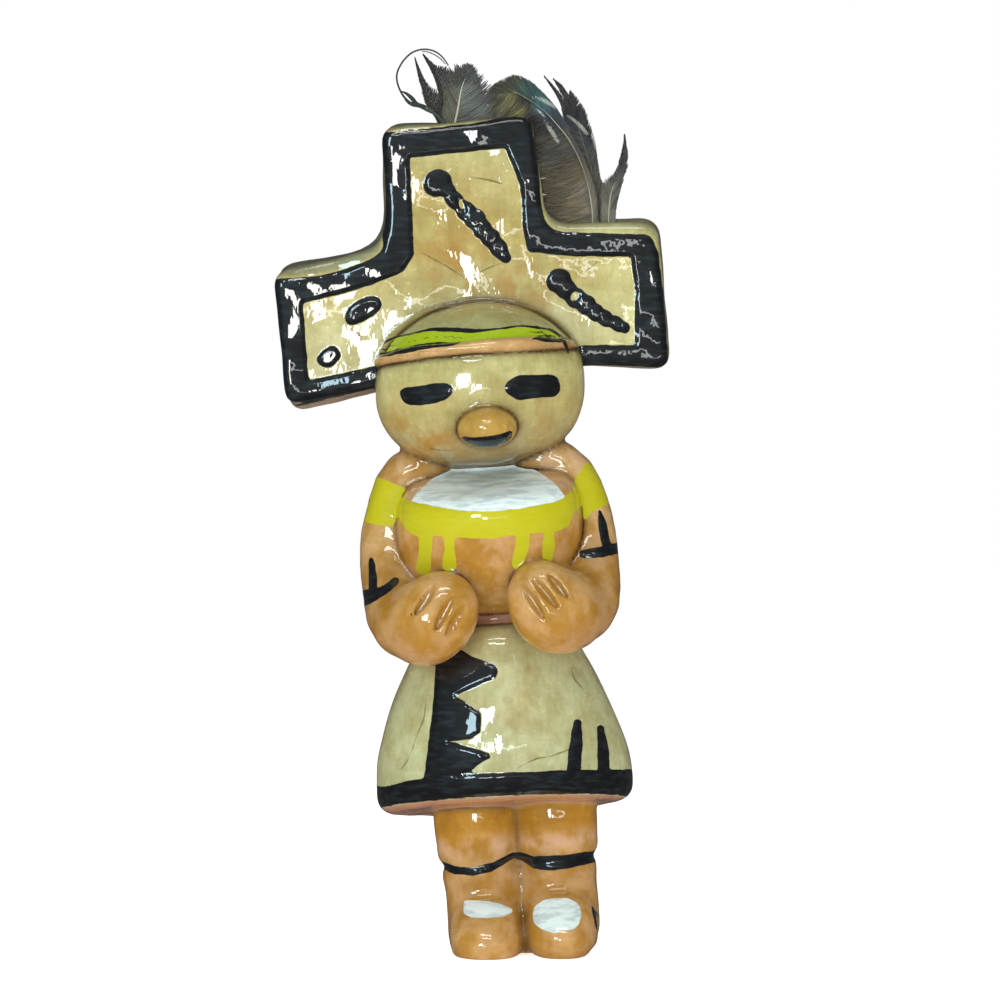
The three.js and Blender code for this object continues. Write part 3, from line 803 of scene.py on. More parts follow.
class ClayPaint:
    """The painter's work: each coat is a distance inside its marks, in millimetres.

    Marks are given as (x, z) on the upright figure, as they look from the front.
    """

    # Each form's ground colours by height. The arms and hands darken towards the bottom, and the head's
    # crown under the lip is greyer and darker: there the colours are partly painted shade.
    GROUNDS: dict[str, tuple[tuple[float, str], ...]] = {
        "slab": ((102, "#C0BA8C"), (114, "#C4BF90"), (122, "#B7AB70"), (132, "#AD9D5E"),
                 (140, "#B2A56A"), (147, "#AEA670")),
        "head": ((89, "#A58E60"), (94, "#A99968"), (99, "#AFA166"), (104, "#B9B17A"),
                 (108, "#B5B178"), (113, "#9C9E72"), (118, "#A09C62")),
        "lip": ((107, "#AEA56A"), (118, "#AAA062")),
        "snout": ((92, "#A8853F"), (97, "#B69245"), (100, "#AE8438")),
        "coil": ((105, "#B98F5C"), (111, "#C79F6A")),
        "torso": ((59, "#A98C50"), (64, "#B48966"), (80, "#B08A5C"), (92, "#C49A6C")),
        "drum": ((60, "#B08434"), (67, "#B88632"), (74, "#BF8A36"), (79, "#C09046"),
                 (90, "#C9B089")),
        "arm": ((57, "#A87A33"), (64, "#AB8038"), (72, "#B58E50"), (80, "#C5A265"),
                (90, "#CEAE76")),
        "hand": ((56, "#AB7B34"), (62, "#BB8D40"), (69, "#C39A52")),
        "skirt": ((27, "#ABAE86"), (40, "#B6B78B"), (50, "#BAB88A"), (58, "#BDB382")),
        "leg": ((4, "#B88A48"), (14, "#B08340"), (19, "#B58B4A"), (21.5, "#B78226"),
                (28, "#B17C1C")),
        "foot": ((0, "#C2944E"), (6, "#CB9D55"), (12, "#B68A44")),
    }
    BORDER_OUT = (
        (-14.6, 150.2), (-4, 150.3), (6, 150.8), (12.6, 152.4), (13.9, 151.4), (14.2, 140.1),
        (14.3, 134), (15.1, 131.0), (17.4, 129.9), (33.6, 128.2), (34.6, 125), (35.0, 117.8),
        (34.9, 105.3), (34.2, 103.0), (18, 104.4), (-17.8, 104.4), (-31.1, 102.4),
        (-35.4, 102.2), (-36.4, 106), (-36.4, 121.7), (-35.4, 125.4), (-26.8, 125.4),
        (-22.3, 126.1), (-16.9, 127.7), (-14.8, 129.0), (-14.6, 132.6),
    )
    BORDER_IN = (
        (-8.7, 145.3), (8.5, 145.8), (10.7, 138.9), (10.6, 130.8), (11.2, 126.8), (18.1, 125.5),
        (29.6, 124.5), (29.8, 118.1), (29.1, 108.6), (21.6, 109.2), (0, 110), (-18.6, 108.3),
        (-29.9, 106.8), (-29.9, 120.7), (-23.5, 121.7), (-16.3, 123.3), (-11.5, 124.9),
        (-9.3, 127.8), (-8.9, 139.5),
    )

    def __init__(self, body: ClayBody, standing: Array, out: Array) -> None:
        """Works out what the painter needs at each point of the skin.

        Args:
            body: The clay figure.
            standing: Its skin's points.
            out: The way each point faces.
        """
        self.body = body
        self.out = out
        self.upright = to_upright(standing)
        self.gaps = body.gaps(self.upright)
        near = VIEW_SCALE * VIEW_DISTANCE / (VIEW_DISTANCE + standing[:, 1])
        seen = np.stack([standing[:, 0] * near, np.zeros(len(standing)),
                         VIEW_HEIGHT + VIEW_RISE + (standing[:, 2] - VIEW_HEIGHT) * near], axis=1)
        self.seen = to_upright(seen)[:, [0, 2]]
        self.x, self.z = self.seen.T
        self.hem_height = body.skirt.height_of(self.upright)[0]

    def own(self, *names: str) -> Array:
        """How far each point is inside these forms' own surface, before it meets another form's."""
        mine = np.min([self.gaps[name] for name in names], axis=0)
        rest = [gap for name, gap in self.gaps.items() if name not in names]
        return np.min(rest, axis=0) - mine

    def front(self, least: float = 0.15) -> Array:
        """Positive where the skin faces forward by at least this much."""
        return (-self.out[:, 1] - least) * 4

    def blot(self, outline: Array, reach: float = 0.5) -> Array:
        """Distance inside an outline, its corners softened as a brush leaves them."""
        outline = np.asarray(outline, float)
        sides = np.linalg.norm(outline - np.roll(outline, 1, axis=0), axis=1)
        ends = np.minimum(sides, np.roll(sides, -1)) / 2.1
        return -outline_gap(self.seen, rounded_outline(outline, np.minimum(reach, ends), 4))

    def stroke(self, path: Array, halves: Array) -> Array:
        """Distance inside a brush stroke along a smooth path with eased half widths."""
        count = 4 * len(path)
        line = smooth_path(np.asarray(path, float), count)
        places = np.linspace(0, 1, len(halves))
        return -path_gap(self.seen, line, eased(places, np.asarray(halves, float),
                                                np.linspace(0, 1, count)))

    def egg(self, x: float, z: float, rx: float, rz: float, turn: float = 0,
            square: float = 2) -> Array:
        """Distance inside a turned, rounded oval: (1 - q) times its smaller half width."""
        c, s = np.cos(np.radians(turn)), np.sin(np.radians(turn))
        u = ((self.x - x) * c + (self.z - z) * s) / rx
        v = ((self.z - z) * c - (self.x - x) * s) / rz
        return (1 - (np.abs(u) ** square + np.abs(v) ** square) ** (1 / square)) * min(rx, rz)

    def between(self, low: Array, high: Array) -> Array:
        """Distance between two rising lines of (x, z) points across the figure."""
        low, high = np.asarray(low, float), np.asarray(high, float)
        return np.minimum(np.interp(self.x, *high.T) - self.z, self.z - np.interp(self.x, *low.T))

    def black(self) -> Array:
        """The black marks: border, wavy marks, eyes, mouth, skirt band and teeth, garters."""
        slab, head = self.own("slab", "lip"), self.own("head", "snout", "coil")
        arms, skirt = self.own("left_arm", "right_arm"), self.own("skirt")
        legs = self.own("left_leg", "right_leg", "left_foot", "right_foot")
        front = self.front()
        border = np.minimum(self.blot(self.BORDER_OUT, 1.4), -self.blot(self.BORDER_IN, 0.4))
        waves = np.max([
            self.egg(-4.1, 140.4, 2.7, 2.4, 30), *self.beads(self.UPPER_CHAIN),
            *self.beads(self.RIGHT_CHAIN),
            self.blot(((-22.4, 117.1), (-21.7, 119.2), (-20.2, 120.2), (-18.2, 120.8),
                       (-16.3, 120.6), (-15.9, 119.0), (-17.2, 117.9), (-18.7, 117), (-20.4, 116.4),
                       (-21.9, 116.3)), 0.7) + 0.25,
            self.blot(((-28.3, 110.5), (-27.4, 111.5), (-25.6, 112.6), (-24.4, 112.1),
                       (-23.9, 110.7), (-25.3, 109.2), (-26.6, 108.8), (-27.7, 109.4)), 0.7) + 0.2,
        ], axis=0)
        hole = np.maximum(self.egg(19.0, 118.2, 0.65, 0.95, -40),
                          self.egg(-0.1, 136.2, 0.4, 0.95, 12))
        waves = np.minimum(waves, -hole)
        slab_marks = np.minimum(np.maximum(border, waves), np.minimum(slab, front))
        eyes = np.maximum(
            self.blot(((-13.9, 103.6), (-12.7, 104.1), (-9.3, 104.3), (-6.9, 104.6), (-4.7, 104.2),
                       (-4.0, 103.3), (-4.5, 102.2), (-5.6, 101.4), (-7.4, 100.9), (-10, 100.7),
                       (-12.7, 101.0), (-13.6, 102.1)), 0.7),
            self.blot(((5.1, 103.2), (6.2, 104.3), (8.2, 104.8), (14, 104.5), (15.1, 103.4),
                       (15.1, 101.3), (14, 100.4), (9.7, 100.4), (7.3, 100.2), (5.3, 101.8)), 0.8))
        mouth = self.blot(((-3.6, 94.7), (-1.2, 94.3), (2.2, 94.3), (6.0, 95.0), (5.6, 93.2),
                           (3.8, 92.0), (0.9, 91.5), (-1.2, 91.6), (-2.8, 92.6)), 0.6)
        mouth = np.minimum(mouth, self.own("snout") + 0.25)
        face = np.minimum(np.maximum(eyes, mouth), np.minimum(head, front))
        arm_marks = np.max([
            self.stroke(((-21.2, 73.7), (-21.1, 71.5), (-21.3, 68)), (0.45, 0.75, 0.75)),
            self.stroke(((-24.5, 66.6), (-21.0, 67.4), (-18.9, 68.3), (-17.1, 69.5)),
                        (1.7, 1.2, 0.8, 0.7)),
            self.stroke(((20.5, 79.2), (20.8, 77), (21.0, 74.5), (21.4, 72.5)),
                        (0.3, 0.75, 0.85, 0.8)),
            self.stroke(((16.9, 71.8), (19.6, 71.9), (22, 72.2), (26, 72.9)),
                        (0.75, 0.95, 1.05, 1.1)),
        ], axis=0)
        arm_marks = np.minimum(arm_marks, np.minimum(arms, self.front(-0.3)))
        ahead = ramp(-0.3, 0.7, -self.out[:, 1])
        band = (ahead * (np.interp(self.x, *np.array(self.HEM_TOP).T) - self.z)
                + (1 - ahead) * (31.9 - self.hem_height))
        band = np.minimum(band, self.hem_height - 27.0)
        teeth = np.max([
            self.blot(((-11.0, 54.9), (-6.5, 56.4), (-4.2, 54.8), (-0.3, 53.1), (0.1, 52),
                       (-0.5, 50.8), (-3.5, 49.7), (-7.9, 48.1), (-5.5, 46.2), (-3.6, 44.9),
                       (-3.9, 41.1), (-5.9, 40.1), (-9.9, 40.0), (-6.1, 38.7), (-2.6, 37.3),
                       (-2.4, 36.5), (-4.6, 35.6), (-6.2, 34.5), (-9.3, 33.3), (-14.9, 33.3),
                       (-13.6, 39.5), (-12.3, 45.7)), 0.45),
            self.stroke(((13.6, 41.6), (13.2, 38.8), (12.2, 33)), (0.75, 1.2, 1.2)),
            self.stroke(((17.6, 40.2), (17.8, 36.8), (17.5, 32)), (0.7, 1.05, 1.1)),
        ], axis=0)
        on_skirt = np.minimum(np.maximum(np.minimum(teeth, front), band), skirt)
        garter = self.between(
            ((-15, 18.2), (-12.6, 17.2), (-10.7, 16.2), (-7.3, 15.6), (-3.8, 16.1), (0.3, 18.2),
             (1.6, 17.8), (3.7, 16), (7.1, 15.4), (10.6, 15.6), (14.1, 16.2), (17, 16.6)),
            ((-15, 19.4), (-12.8, 18.7), (-10.5, 17.6), (-7.1, 17.0), (-3.6, 17.7), (0.2, 19.3),
             (1.7, 19.2), (3.3, 18.4), (5.6, 18.1), (10.2, 18.1), (14.6, 18.4), (17, 18.6)))
        toe_mark = self.stroke(((13.7, 8.2), (14.2, 6.6), (14.3, 4.5)), (0.25, 0.5, 0.3))
        low = np.minimum(np.maximum(garter, np.minimum(toe_mark, front)), legs)
        return np.max([slab_marks, face, arm_marks, on_skirt, low], axis=0)

    HEM_TOP = ((-26, 31.4), (-23.5, 32.4), (-18.6, 33.4), (-13.9, 33.9), (-5.8, 33.9), (-0.1, 33.7),
               (5.6, 33.4), (11.4, 33.2), (22.5, 32.5), (26, 32.3))
    UPPER_CHAIN = ((-2.5, 139.1, 1.5, 2.0), (-1.2, 137.0, 1.6, 2.3), (0.7, 134.9, 1.75, 1.9),
                   (2.2, 133.4, 1.95, 1.9), (3.4, 131.4, 1.8, 1.8), (4.7, 129.8, 1.75, 1.8),
                   (5.9, 128.0, 1.6, 2.0), (6.8, 126.4, 1.15, 1.5))
    RIGHT_CHAIN = ((16.3, 121.2, 2.3, 2.2), (17.5, 119.6, 1.9, 2.2), (19.1, 117.9, 1.95, 2.0),
                   (20.9, 116.5, 1.85, 1.7), (22.5, 114.9, 1.6, 1.7), (24.2, 113.8, 1.45, 1.8),
                   (26.1, 112.7, 1.25, 1.9), (27.4, 111.9, 1.0, 1.1))

    def beads(self, chain: tuple) -> list[Array]:
        """Distances inside a chain of dabs, each (x, z, half across, half along) and slanting."""
        return [self.egg(x, z, across, along, 40) for x, z, across, along in chain]

    def yellow(self) -> Array:
        """The yellow: armbands, the drum's rim and its four short tassels."""
        arms = self.own("left_arm", "right_arm")
        bands = np.maximum(
            self.blot(((-24, 82.8), (-19.1, 88.5), (-14.2, 86.2), (-13.2, 84.4), (-14.9, 82.4),
                       (-16.9, 79.4), (-19.2, 79.8), (-24, 81.2)), 0.6),
            self.blot(((13.8, 82.2), (15.2, 83.6), (19, 88.4), (23.6, 84), (22.2, 80.3),
                       (19.6, 79.6), (17.7, 77.9), (16.4, 78.4), (15, 80.6)), 0.6))
        rim = self.between(self.RIM_LOW, self.DRUM_HEAD) * 0.9
        tassels = np.max([
            self.stroke(((-11.0, 79), (-11.3, 75), (-11.9, 71.7)), (1.7, 1.15, 1.35)),
            self.stroke(((-6.6, 79), (-7.0, 75), (-7.2, 71.8)), (1.5, 0.85, 1.3)),
            self.stroke(((6.3, 79), (6.3, 75), (5.8, 73), (5.0, 71)), (1.6, 1.2, 1.2, 1.0)),
            self.stroke(((11.0, 79), (11.0, 75), (10.7, 73), (10.4, 71.3)), (1.4, 0.9, 1.1, 0.9)),
        ], axis=0)
        drum = np.minimum(np.maximum(rim, np.minimum(tassels, self.front())), self.own("drum"))
        return np.maximum(np.minimum(bands, arms), drum)

    HEAD_ARC = ((-18, 80), (-13.4, 83.4), (-12.2, 85.0), (-9.4, 87.2), (-5.6, 88.9), (0.6, 89.6),
                (6.4, 89.0), (10.2, 87.2), (12.8, 84.9), (14.2, 82.8), (18, 78))
    DRUM_HEAD = ((-18, 86), (-13.5, 83.7), (-11.3, 83.1), (-7.9, 82.1), (-3.4, 81.1), (1.2, 80.7),
                 (7, 80.9), (12.8, 81.6), (14.3, 82.2), (18, 85))
    RIM_LOW = ((-18, 82), (-15.6, 80.9), (-14.7, 78.7), (-12.9, 77.3), (-8.3, 77), (-3.7, 76.3),
               (0.8, 75.8), (4.9, 76.2), (8.9, 76.3), (12.4, 76.2), (14.8, 77), (15.8, 79.3),
               (18, 81))

    def lime(self) -> Array:
        """The lime strip above the headband coil."""
        strip = self.between(
            ((-18, 109.8), (-12.5, 110.4), (-5.6, 110.8), (5.9, 110.7), (11, 110.5), (17.4, 109)),
            ((-18.1, 110.2), (-16.9, 111.9), (-13.9, 113.2), (-9.8, 113.8), (-4.9, 113.9),
             (0.3, 113.3), (8.9, 113.4), (14, 112.4), (15.7, 111.2), (17, 109.4)))
        return np.minimum(strip, np.minimum(self.own("head"), self.front(0)))

    def white(self) -> Array:
        """The white: the drum's head and a patch on each foot."""
        head = np.minimum(self.between(self.DRUM_HEAD, self.HEAD_ARC), self.own("drum"))
        patches = np.maximum(
            self.blot(((-9.5, 9.7), (-9.2, 11.4), (-5.3, 10.9), (-1.9, 9.9), (-0.4, 8.8),
                       (-2.1, 7.9), (-5.5, 7.8), (-8.4, 8.1), (-9.4, 9.0)), 0.6),
            self.blot(((2.8, 7.4), (3.2, 9.1), (5, 10.4), (7.3, 10.4), (9.6, 10.3), (11.3, 9.1),
                       (11.7, 7), (11, 5.3), (10, 4.4), (8.3, 4.6), (6.5, 4.1), (4.6, 4.9),
                       (3.1, 6)), 0.6))
        feet = self.own("left_leg", "right_leg", "left_foot", "right_foot")
        return np.maximum(head, np.minimum(np.minimum(patches, feet), self.front()))

    def bare(self) -> Array:
        """Unpainted pink clay under the hem and in the hollow below the drum."""
        under = np.minimum(26.9 - self.hem_height, self.own("skirt"))
        hollow = np.minimum(np.minimum(self.own("torso"), 71 - self.z),
                            np.minimum(self.front(0.2), 9 - np.abs(self.x)))
        return np.maximum(under, hollow)

    def lines(self, rows: tuple, own: Array) -> tuple[Array, Array]:
        """Thin brush lines or cracks, kept as a signed offset so that they stay sharp.

        Args:
            rows: (path, half widths) of each line.
            own: Distance inside the surface that carries them.

        Returns:
            The offset from the nearest line, and its half width there, or -1 far from any.
        """
        offset, half = np.full(len(self.x), 9.0), np.full(len(self.x), -1.0)
        for path, halves in rows:
            line = smooth_path(np.asarray(path, float), 5 * len(path))
            signed, share, past = line_offset(self.seen, line)
            wide = eased(np.linspace(0, 1, len(halves)), np.asarray(halves, float), share)
            near = (np.abs(signed) < np.minimum(np.abs(offset), 1.3)) & (past < 0.3)
            offset = np.where(near, signed, offset)
            half = np.where(near, wide, half)
        return offset, np.where(own > 0, half, -1.0)

    def brow_lines(self) -> tuple[Array, Array]:
        """The thin black lines along both edges of the lime strip."""
        return self.lines((
            (((-18.3, 109.6), (-17.9, 111), (-16.9, 111.9), (-15.4, 112.7), (-13.9, 113.3),
              (-12.2, 113.5), (-9.8, 113.9), (-7.3, 114.2), (-4.6, 114.0), (0.3, 113.4),
              (4.9, 113.4), (8.9, 113.6), (11.8, 113.1), (14, 112.5), (15.7, 111.4), (16.6, 109.8),
              (17.0, 108)),
             (0.2, 0.16, 0.16, 0.16, 0.2, 0.34, 0.42, 0.36, 0.2, 0.16, 0.16, 0.2, 0.22, 0.3, 0.2)),
            (((-17.9, 110.3), (-16.1, 110.3), (-13.6, 110.7), (-11.2, 110.9), (-8.7, 111.3),
              (-6.3, 111.4), (-3.9, 111.3), (-2.0, 111.5)),
             (0.3, 0.4, 0.46, 0.5, 0.5, 0.46, 0.35, 0.08)),
            (((10.6, 111.1), (11.9, 111.2), (13.3, 110.9), (15.6, 110.3)), (0.1, 0.5, 0.52, 0.25)),
        ), np.minimum(self.own("head", "coil", "lip") + 0.6, self.front(0)))

    def cracks(self) -> tuple[Array, Array]:
        """Hair cracks and scored lines."""
        hair = (0.04, 0.1, 0.13, 0.1, 0.04)
        rows = (
            ((-8.2, 128.3), (-4, 125.6), (0, 122.6)), ((0, 122.6), (3.2, 124.2), (6.9, 125.3)),
            ((1.8, 141), (4.6, 140.4), (7.7, 139.3)), ((-28.1, 120.2), (-26, 119.2)),
            ((20.6, 121.9), (23.4, 124)), ((-13.4, 47.6), (-13.9, 44.6), (-15.2, 42), (-16.5, 39)),
            ((13.2, 51.7), (13.6, 49.6), (15.2, 47.4)), ((2.4, 34.4), (6, 35.8), (8, 35.9), (11.9, 37)),
            ((-9.4, 92.9), (-7, 92.4), (-5, 92.2)), ((-16.6, 38.6), (-17.6, 37), (-18.8, 35.6)),
        )
        return self.lines(tuple((row, hair) for row in rows), self.front())

    def grooves(self) -> Array:
        """Distance inside the finger grooves, where ochre slip has run."""
        depth = self.x * 0 - 5
        for side in (-1, 1):
            for path in self.body.hand.grooves(side):
                inside = -path_gap(self.upright, path, np.array([0.5, 0.9, 1.1, 1.0, 0.7, 0.2])
                                   * self.body.hand.groove * 1.1)
                depth = np.maximum(depth, inside)
        return depth

    def ground(self) -> Array:
        """The ground coat: each form's colours by height, melted together at the joints, with painted
        shade in places.
        """
        weights, colours = [], []
        for name, gap in self.gaps.items():
            key = name.split("_")[-1]
            stops = self.GROUNDS["foot" if key == "instep" else key]
            heights = [height for height, _ in stops]
            rows = np.array([linear(code)[:3] for _, code in stops])
            colours.append(np.stack([np.interp(self.z, heights, row) for row in rows.T], axis=1))
            weights.append(np.exp(-np.clip(gap, -1, 6) / 0.22))
        weights = np.array(weights)
        weights /= weights.sum(axis=0)
        colour = np.einsum("fp,fpc->pc", weights, np.array(colours))
        slab = ramp(-0.3, 0.3, self.own("slab"))
        beyond = ramp(-0.1, 0.7, -self.blot(self.BORDER_OUT, 1.4))
        rim = slab * np.maximum(1 - ramp(0.45, 0.9, -self.out[:, 1]), beyond)
        # The slab's rounded edge, its back and the band outside the border take the bare edge's own
        # grey; where the edge faces up the grey is darker, as painted shade.
        grey = np.array([linear("#7E8264")[:3], linear("#666A58")[:3]])
        high = ramp(0.35, 0.75, self.out[:, 2])[:, None]
        colour += rim[:, None] * (grey[0] * (1 - high) + grey[1] * high - colour) * 0.92
        under = slab * ramp(0.5, 0.85, -self.out[:, 2]) * 0.8
        colour += under[:, None] * (np.array(linear("#A98A72")[:3]) - colour)
        arm = np.exp(-((self.x - 27) / 8) ** 2) * slab * 0.45
        colour += arm[:, None] * (np.array(linear("#CAC68A")[:3]) - colour)
        return colour

    def thin(self) -> Array:
        """Where the ground coat is thin and the ochre clay shows through it, from 0 to 1."""
        def patch(x: float, z: float, rx: float, rz: float) -> Array:
            """A soft round patch: exp of minus the squared distance over its half sizes."""
            return np.exp(-((self.x - x) / rx) ** 2 - ((self.z - z) / rz) ** 2)

        spots = (0.9 * patch(-11, 95.5, 6, 4.5) + 0.5 * patch(-4, 92, 8, 3)
                 + 0.45 * patch(13, 98, 3.5, 5) + 0.75 * patch(-3, 129, 7, 9)
                 + 0.5 * patch(12, 120, 6, 5) + 0.5 * patch(3, 121, 8, 3)
                 + 0.3 * patch(-6, 57, 5, 3) + 0.2 * patch(4, 44, 8, 6))
        limbs = ramp(-0.2, 0.6, self.own("left_arm", "left_hand", "right_arm", "right_hand",
                                         "drum", "left_leg", "right_leg", "left_foot",
                                         "right_foot"))
        return np.clip(0.8 * spots * (self.out[:, 1] < 0) + 0.08 + 0.5 * limbs, 0, 1)

    def rosy(self) -> Array:
        """Where pinkish clay shows on the limbs and the drum, with a painted highlight along the swell
        above the garters, from 0 to 1.
        """
        limbs = ramp(-0.2, 0.6, self.own("left_arm", "left_hand", "right_arm", "right_hand",
                                         "drum", "left_leg", "right_leg", "left_foot",
                                         "right_foot"))
        wedge = np.exp(-((self.x + 0.5) / 4.2) ** 2 - ((self.z - 73.5) / 2.2) ** 2)
        # A pale pink band along the bottom of each thigh's swell: a painted highlight.
        thigh_highlight = np.exp(-((self.z - 20.6) / 1.3) ** 2)
        thighs = ramp(22, 24, self.z) * ramp(36, 34, self.z)
        return np.clip(limbs * (0.3 - 0.3 * thighs + 0.5 * wedge + 0.6 * thigh_highlight
                                + 0.2 * ramp(76, 88, self.z)), 0, 0.9)

    def rust(self) -> Array:
        """Distance inside the thin reddish patch between the two left blots."""
        patch = self.blot(((-23.1, 115.3), (-22, 115.7), (-20.6, 115.0), (-19.4, 113.9),
                           (-20, 113.2), (-21.2, 113.0), (-22.2, 114)), 0.5)
        return np.minimum(patch, np.minimum(self.own("slab"), self.front()))

    def crease(self) -> Array:
        """Closeness to a joint between two forms, where dark glaze pools and shade is painted in, from
        0 to 1.
        """
        gaps = dict(self.gaps)
        for side in ("left", "right"):
            gaps[f"{side}_arm"] = np.minimum(gaps[f"{side}_arm"], gaps.pop(f"{side}_hand"))
            gaps[f"{side}_leg"] = np.minimum(gaps[f"{side}_leg"], gaps.pop(f"{side}_foot"))
        between = np.maximum(gaps["left_leg"], gaps.pop("right_leg"))
        gaps["left_leg"] = np.minimum(gaps["left_leg"], gaps.pop("instep"))
        gaps = np.sort(np.array(list(gaps.values())), axis=0)
        # Joints are darkened as pooled glaze and painted shade; a fainter painted shade runs down
        # between the legs.
        joint = np.exp(-np.maximum(gaps[1] - 0.3 - np.minimum(gaps[0], 0), 0) / 0.42)
        return np.maximum(joint, 0.6 * np.exp(-np.maximum(between - 0.8, 0) / 0.5))

    def coats(self) -> dict[str, Array]:
        """Every coat by name, as values on the skin's points."""
        brow, brow_half = self.brow_lines()
        crack, crack_half = self.cracks()
        return {"ground": self.ground(), "black": self.black(), "yellow": self.yellow(),
                "lime": self.lime(), "white": self.white(), "bare": self.bare(),
                "grooves": self.grooves(), "rust": self.rust(), "thin": self.thin(),
                "rosy": self.rosy(), "crease": self.crease(),
                "brow": brow, "brow_half": brow_half, "crack": crack, "crack_half": crack_half}


# ---- Finishes ----


class Tree:
    """A material's node tree, filled node by node."""

    def __init__(self, name: str) -> None:
        """Starts an empty tree for a new material.

        Args:
            name: The material's name.
        """
        self.material = bpy.data.materials.new(name)
        self.material.use_nodes = True
        self.nodes = self.material.node_tree.nodes
        self.nodes.clear()

    def add(self, kind: str, inputs: dict | None = None, output: int | str = 0,
            **settings: object) -> bpy.types.NodeSocket:
        """Adds a node with its settings and links.

        Args:
            kind: The node's type without its ShaderNode prefix.
            inputs: For each input's name or number, a value or the socket that feeds it.
            output: The output that is wanted, if the node has one.
            settings: The node's own properties.

        Returns:
            That output.
        """
        node = self.nodes.new(f"ShaderNode{kind}")
        for key, value in settings.items():
            setattr(node, key, value)
        for key, value in (inputs or {}).items():
            if isinstance(value, bpy.types.NodeSocket):
                self.material.node_tree.links.new(value, node.inputs[key])
            else:
                node.inputs[key].default_value = value
        return node.outputs[output] if len(node.outputs) else None


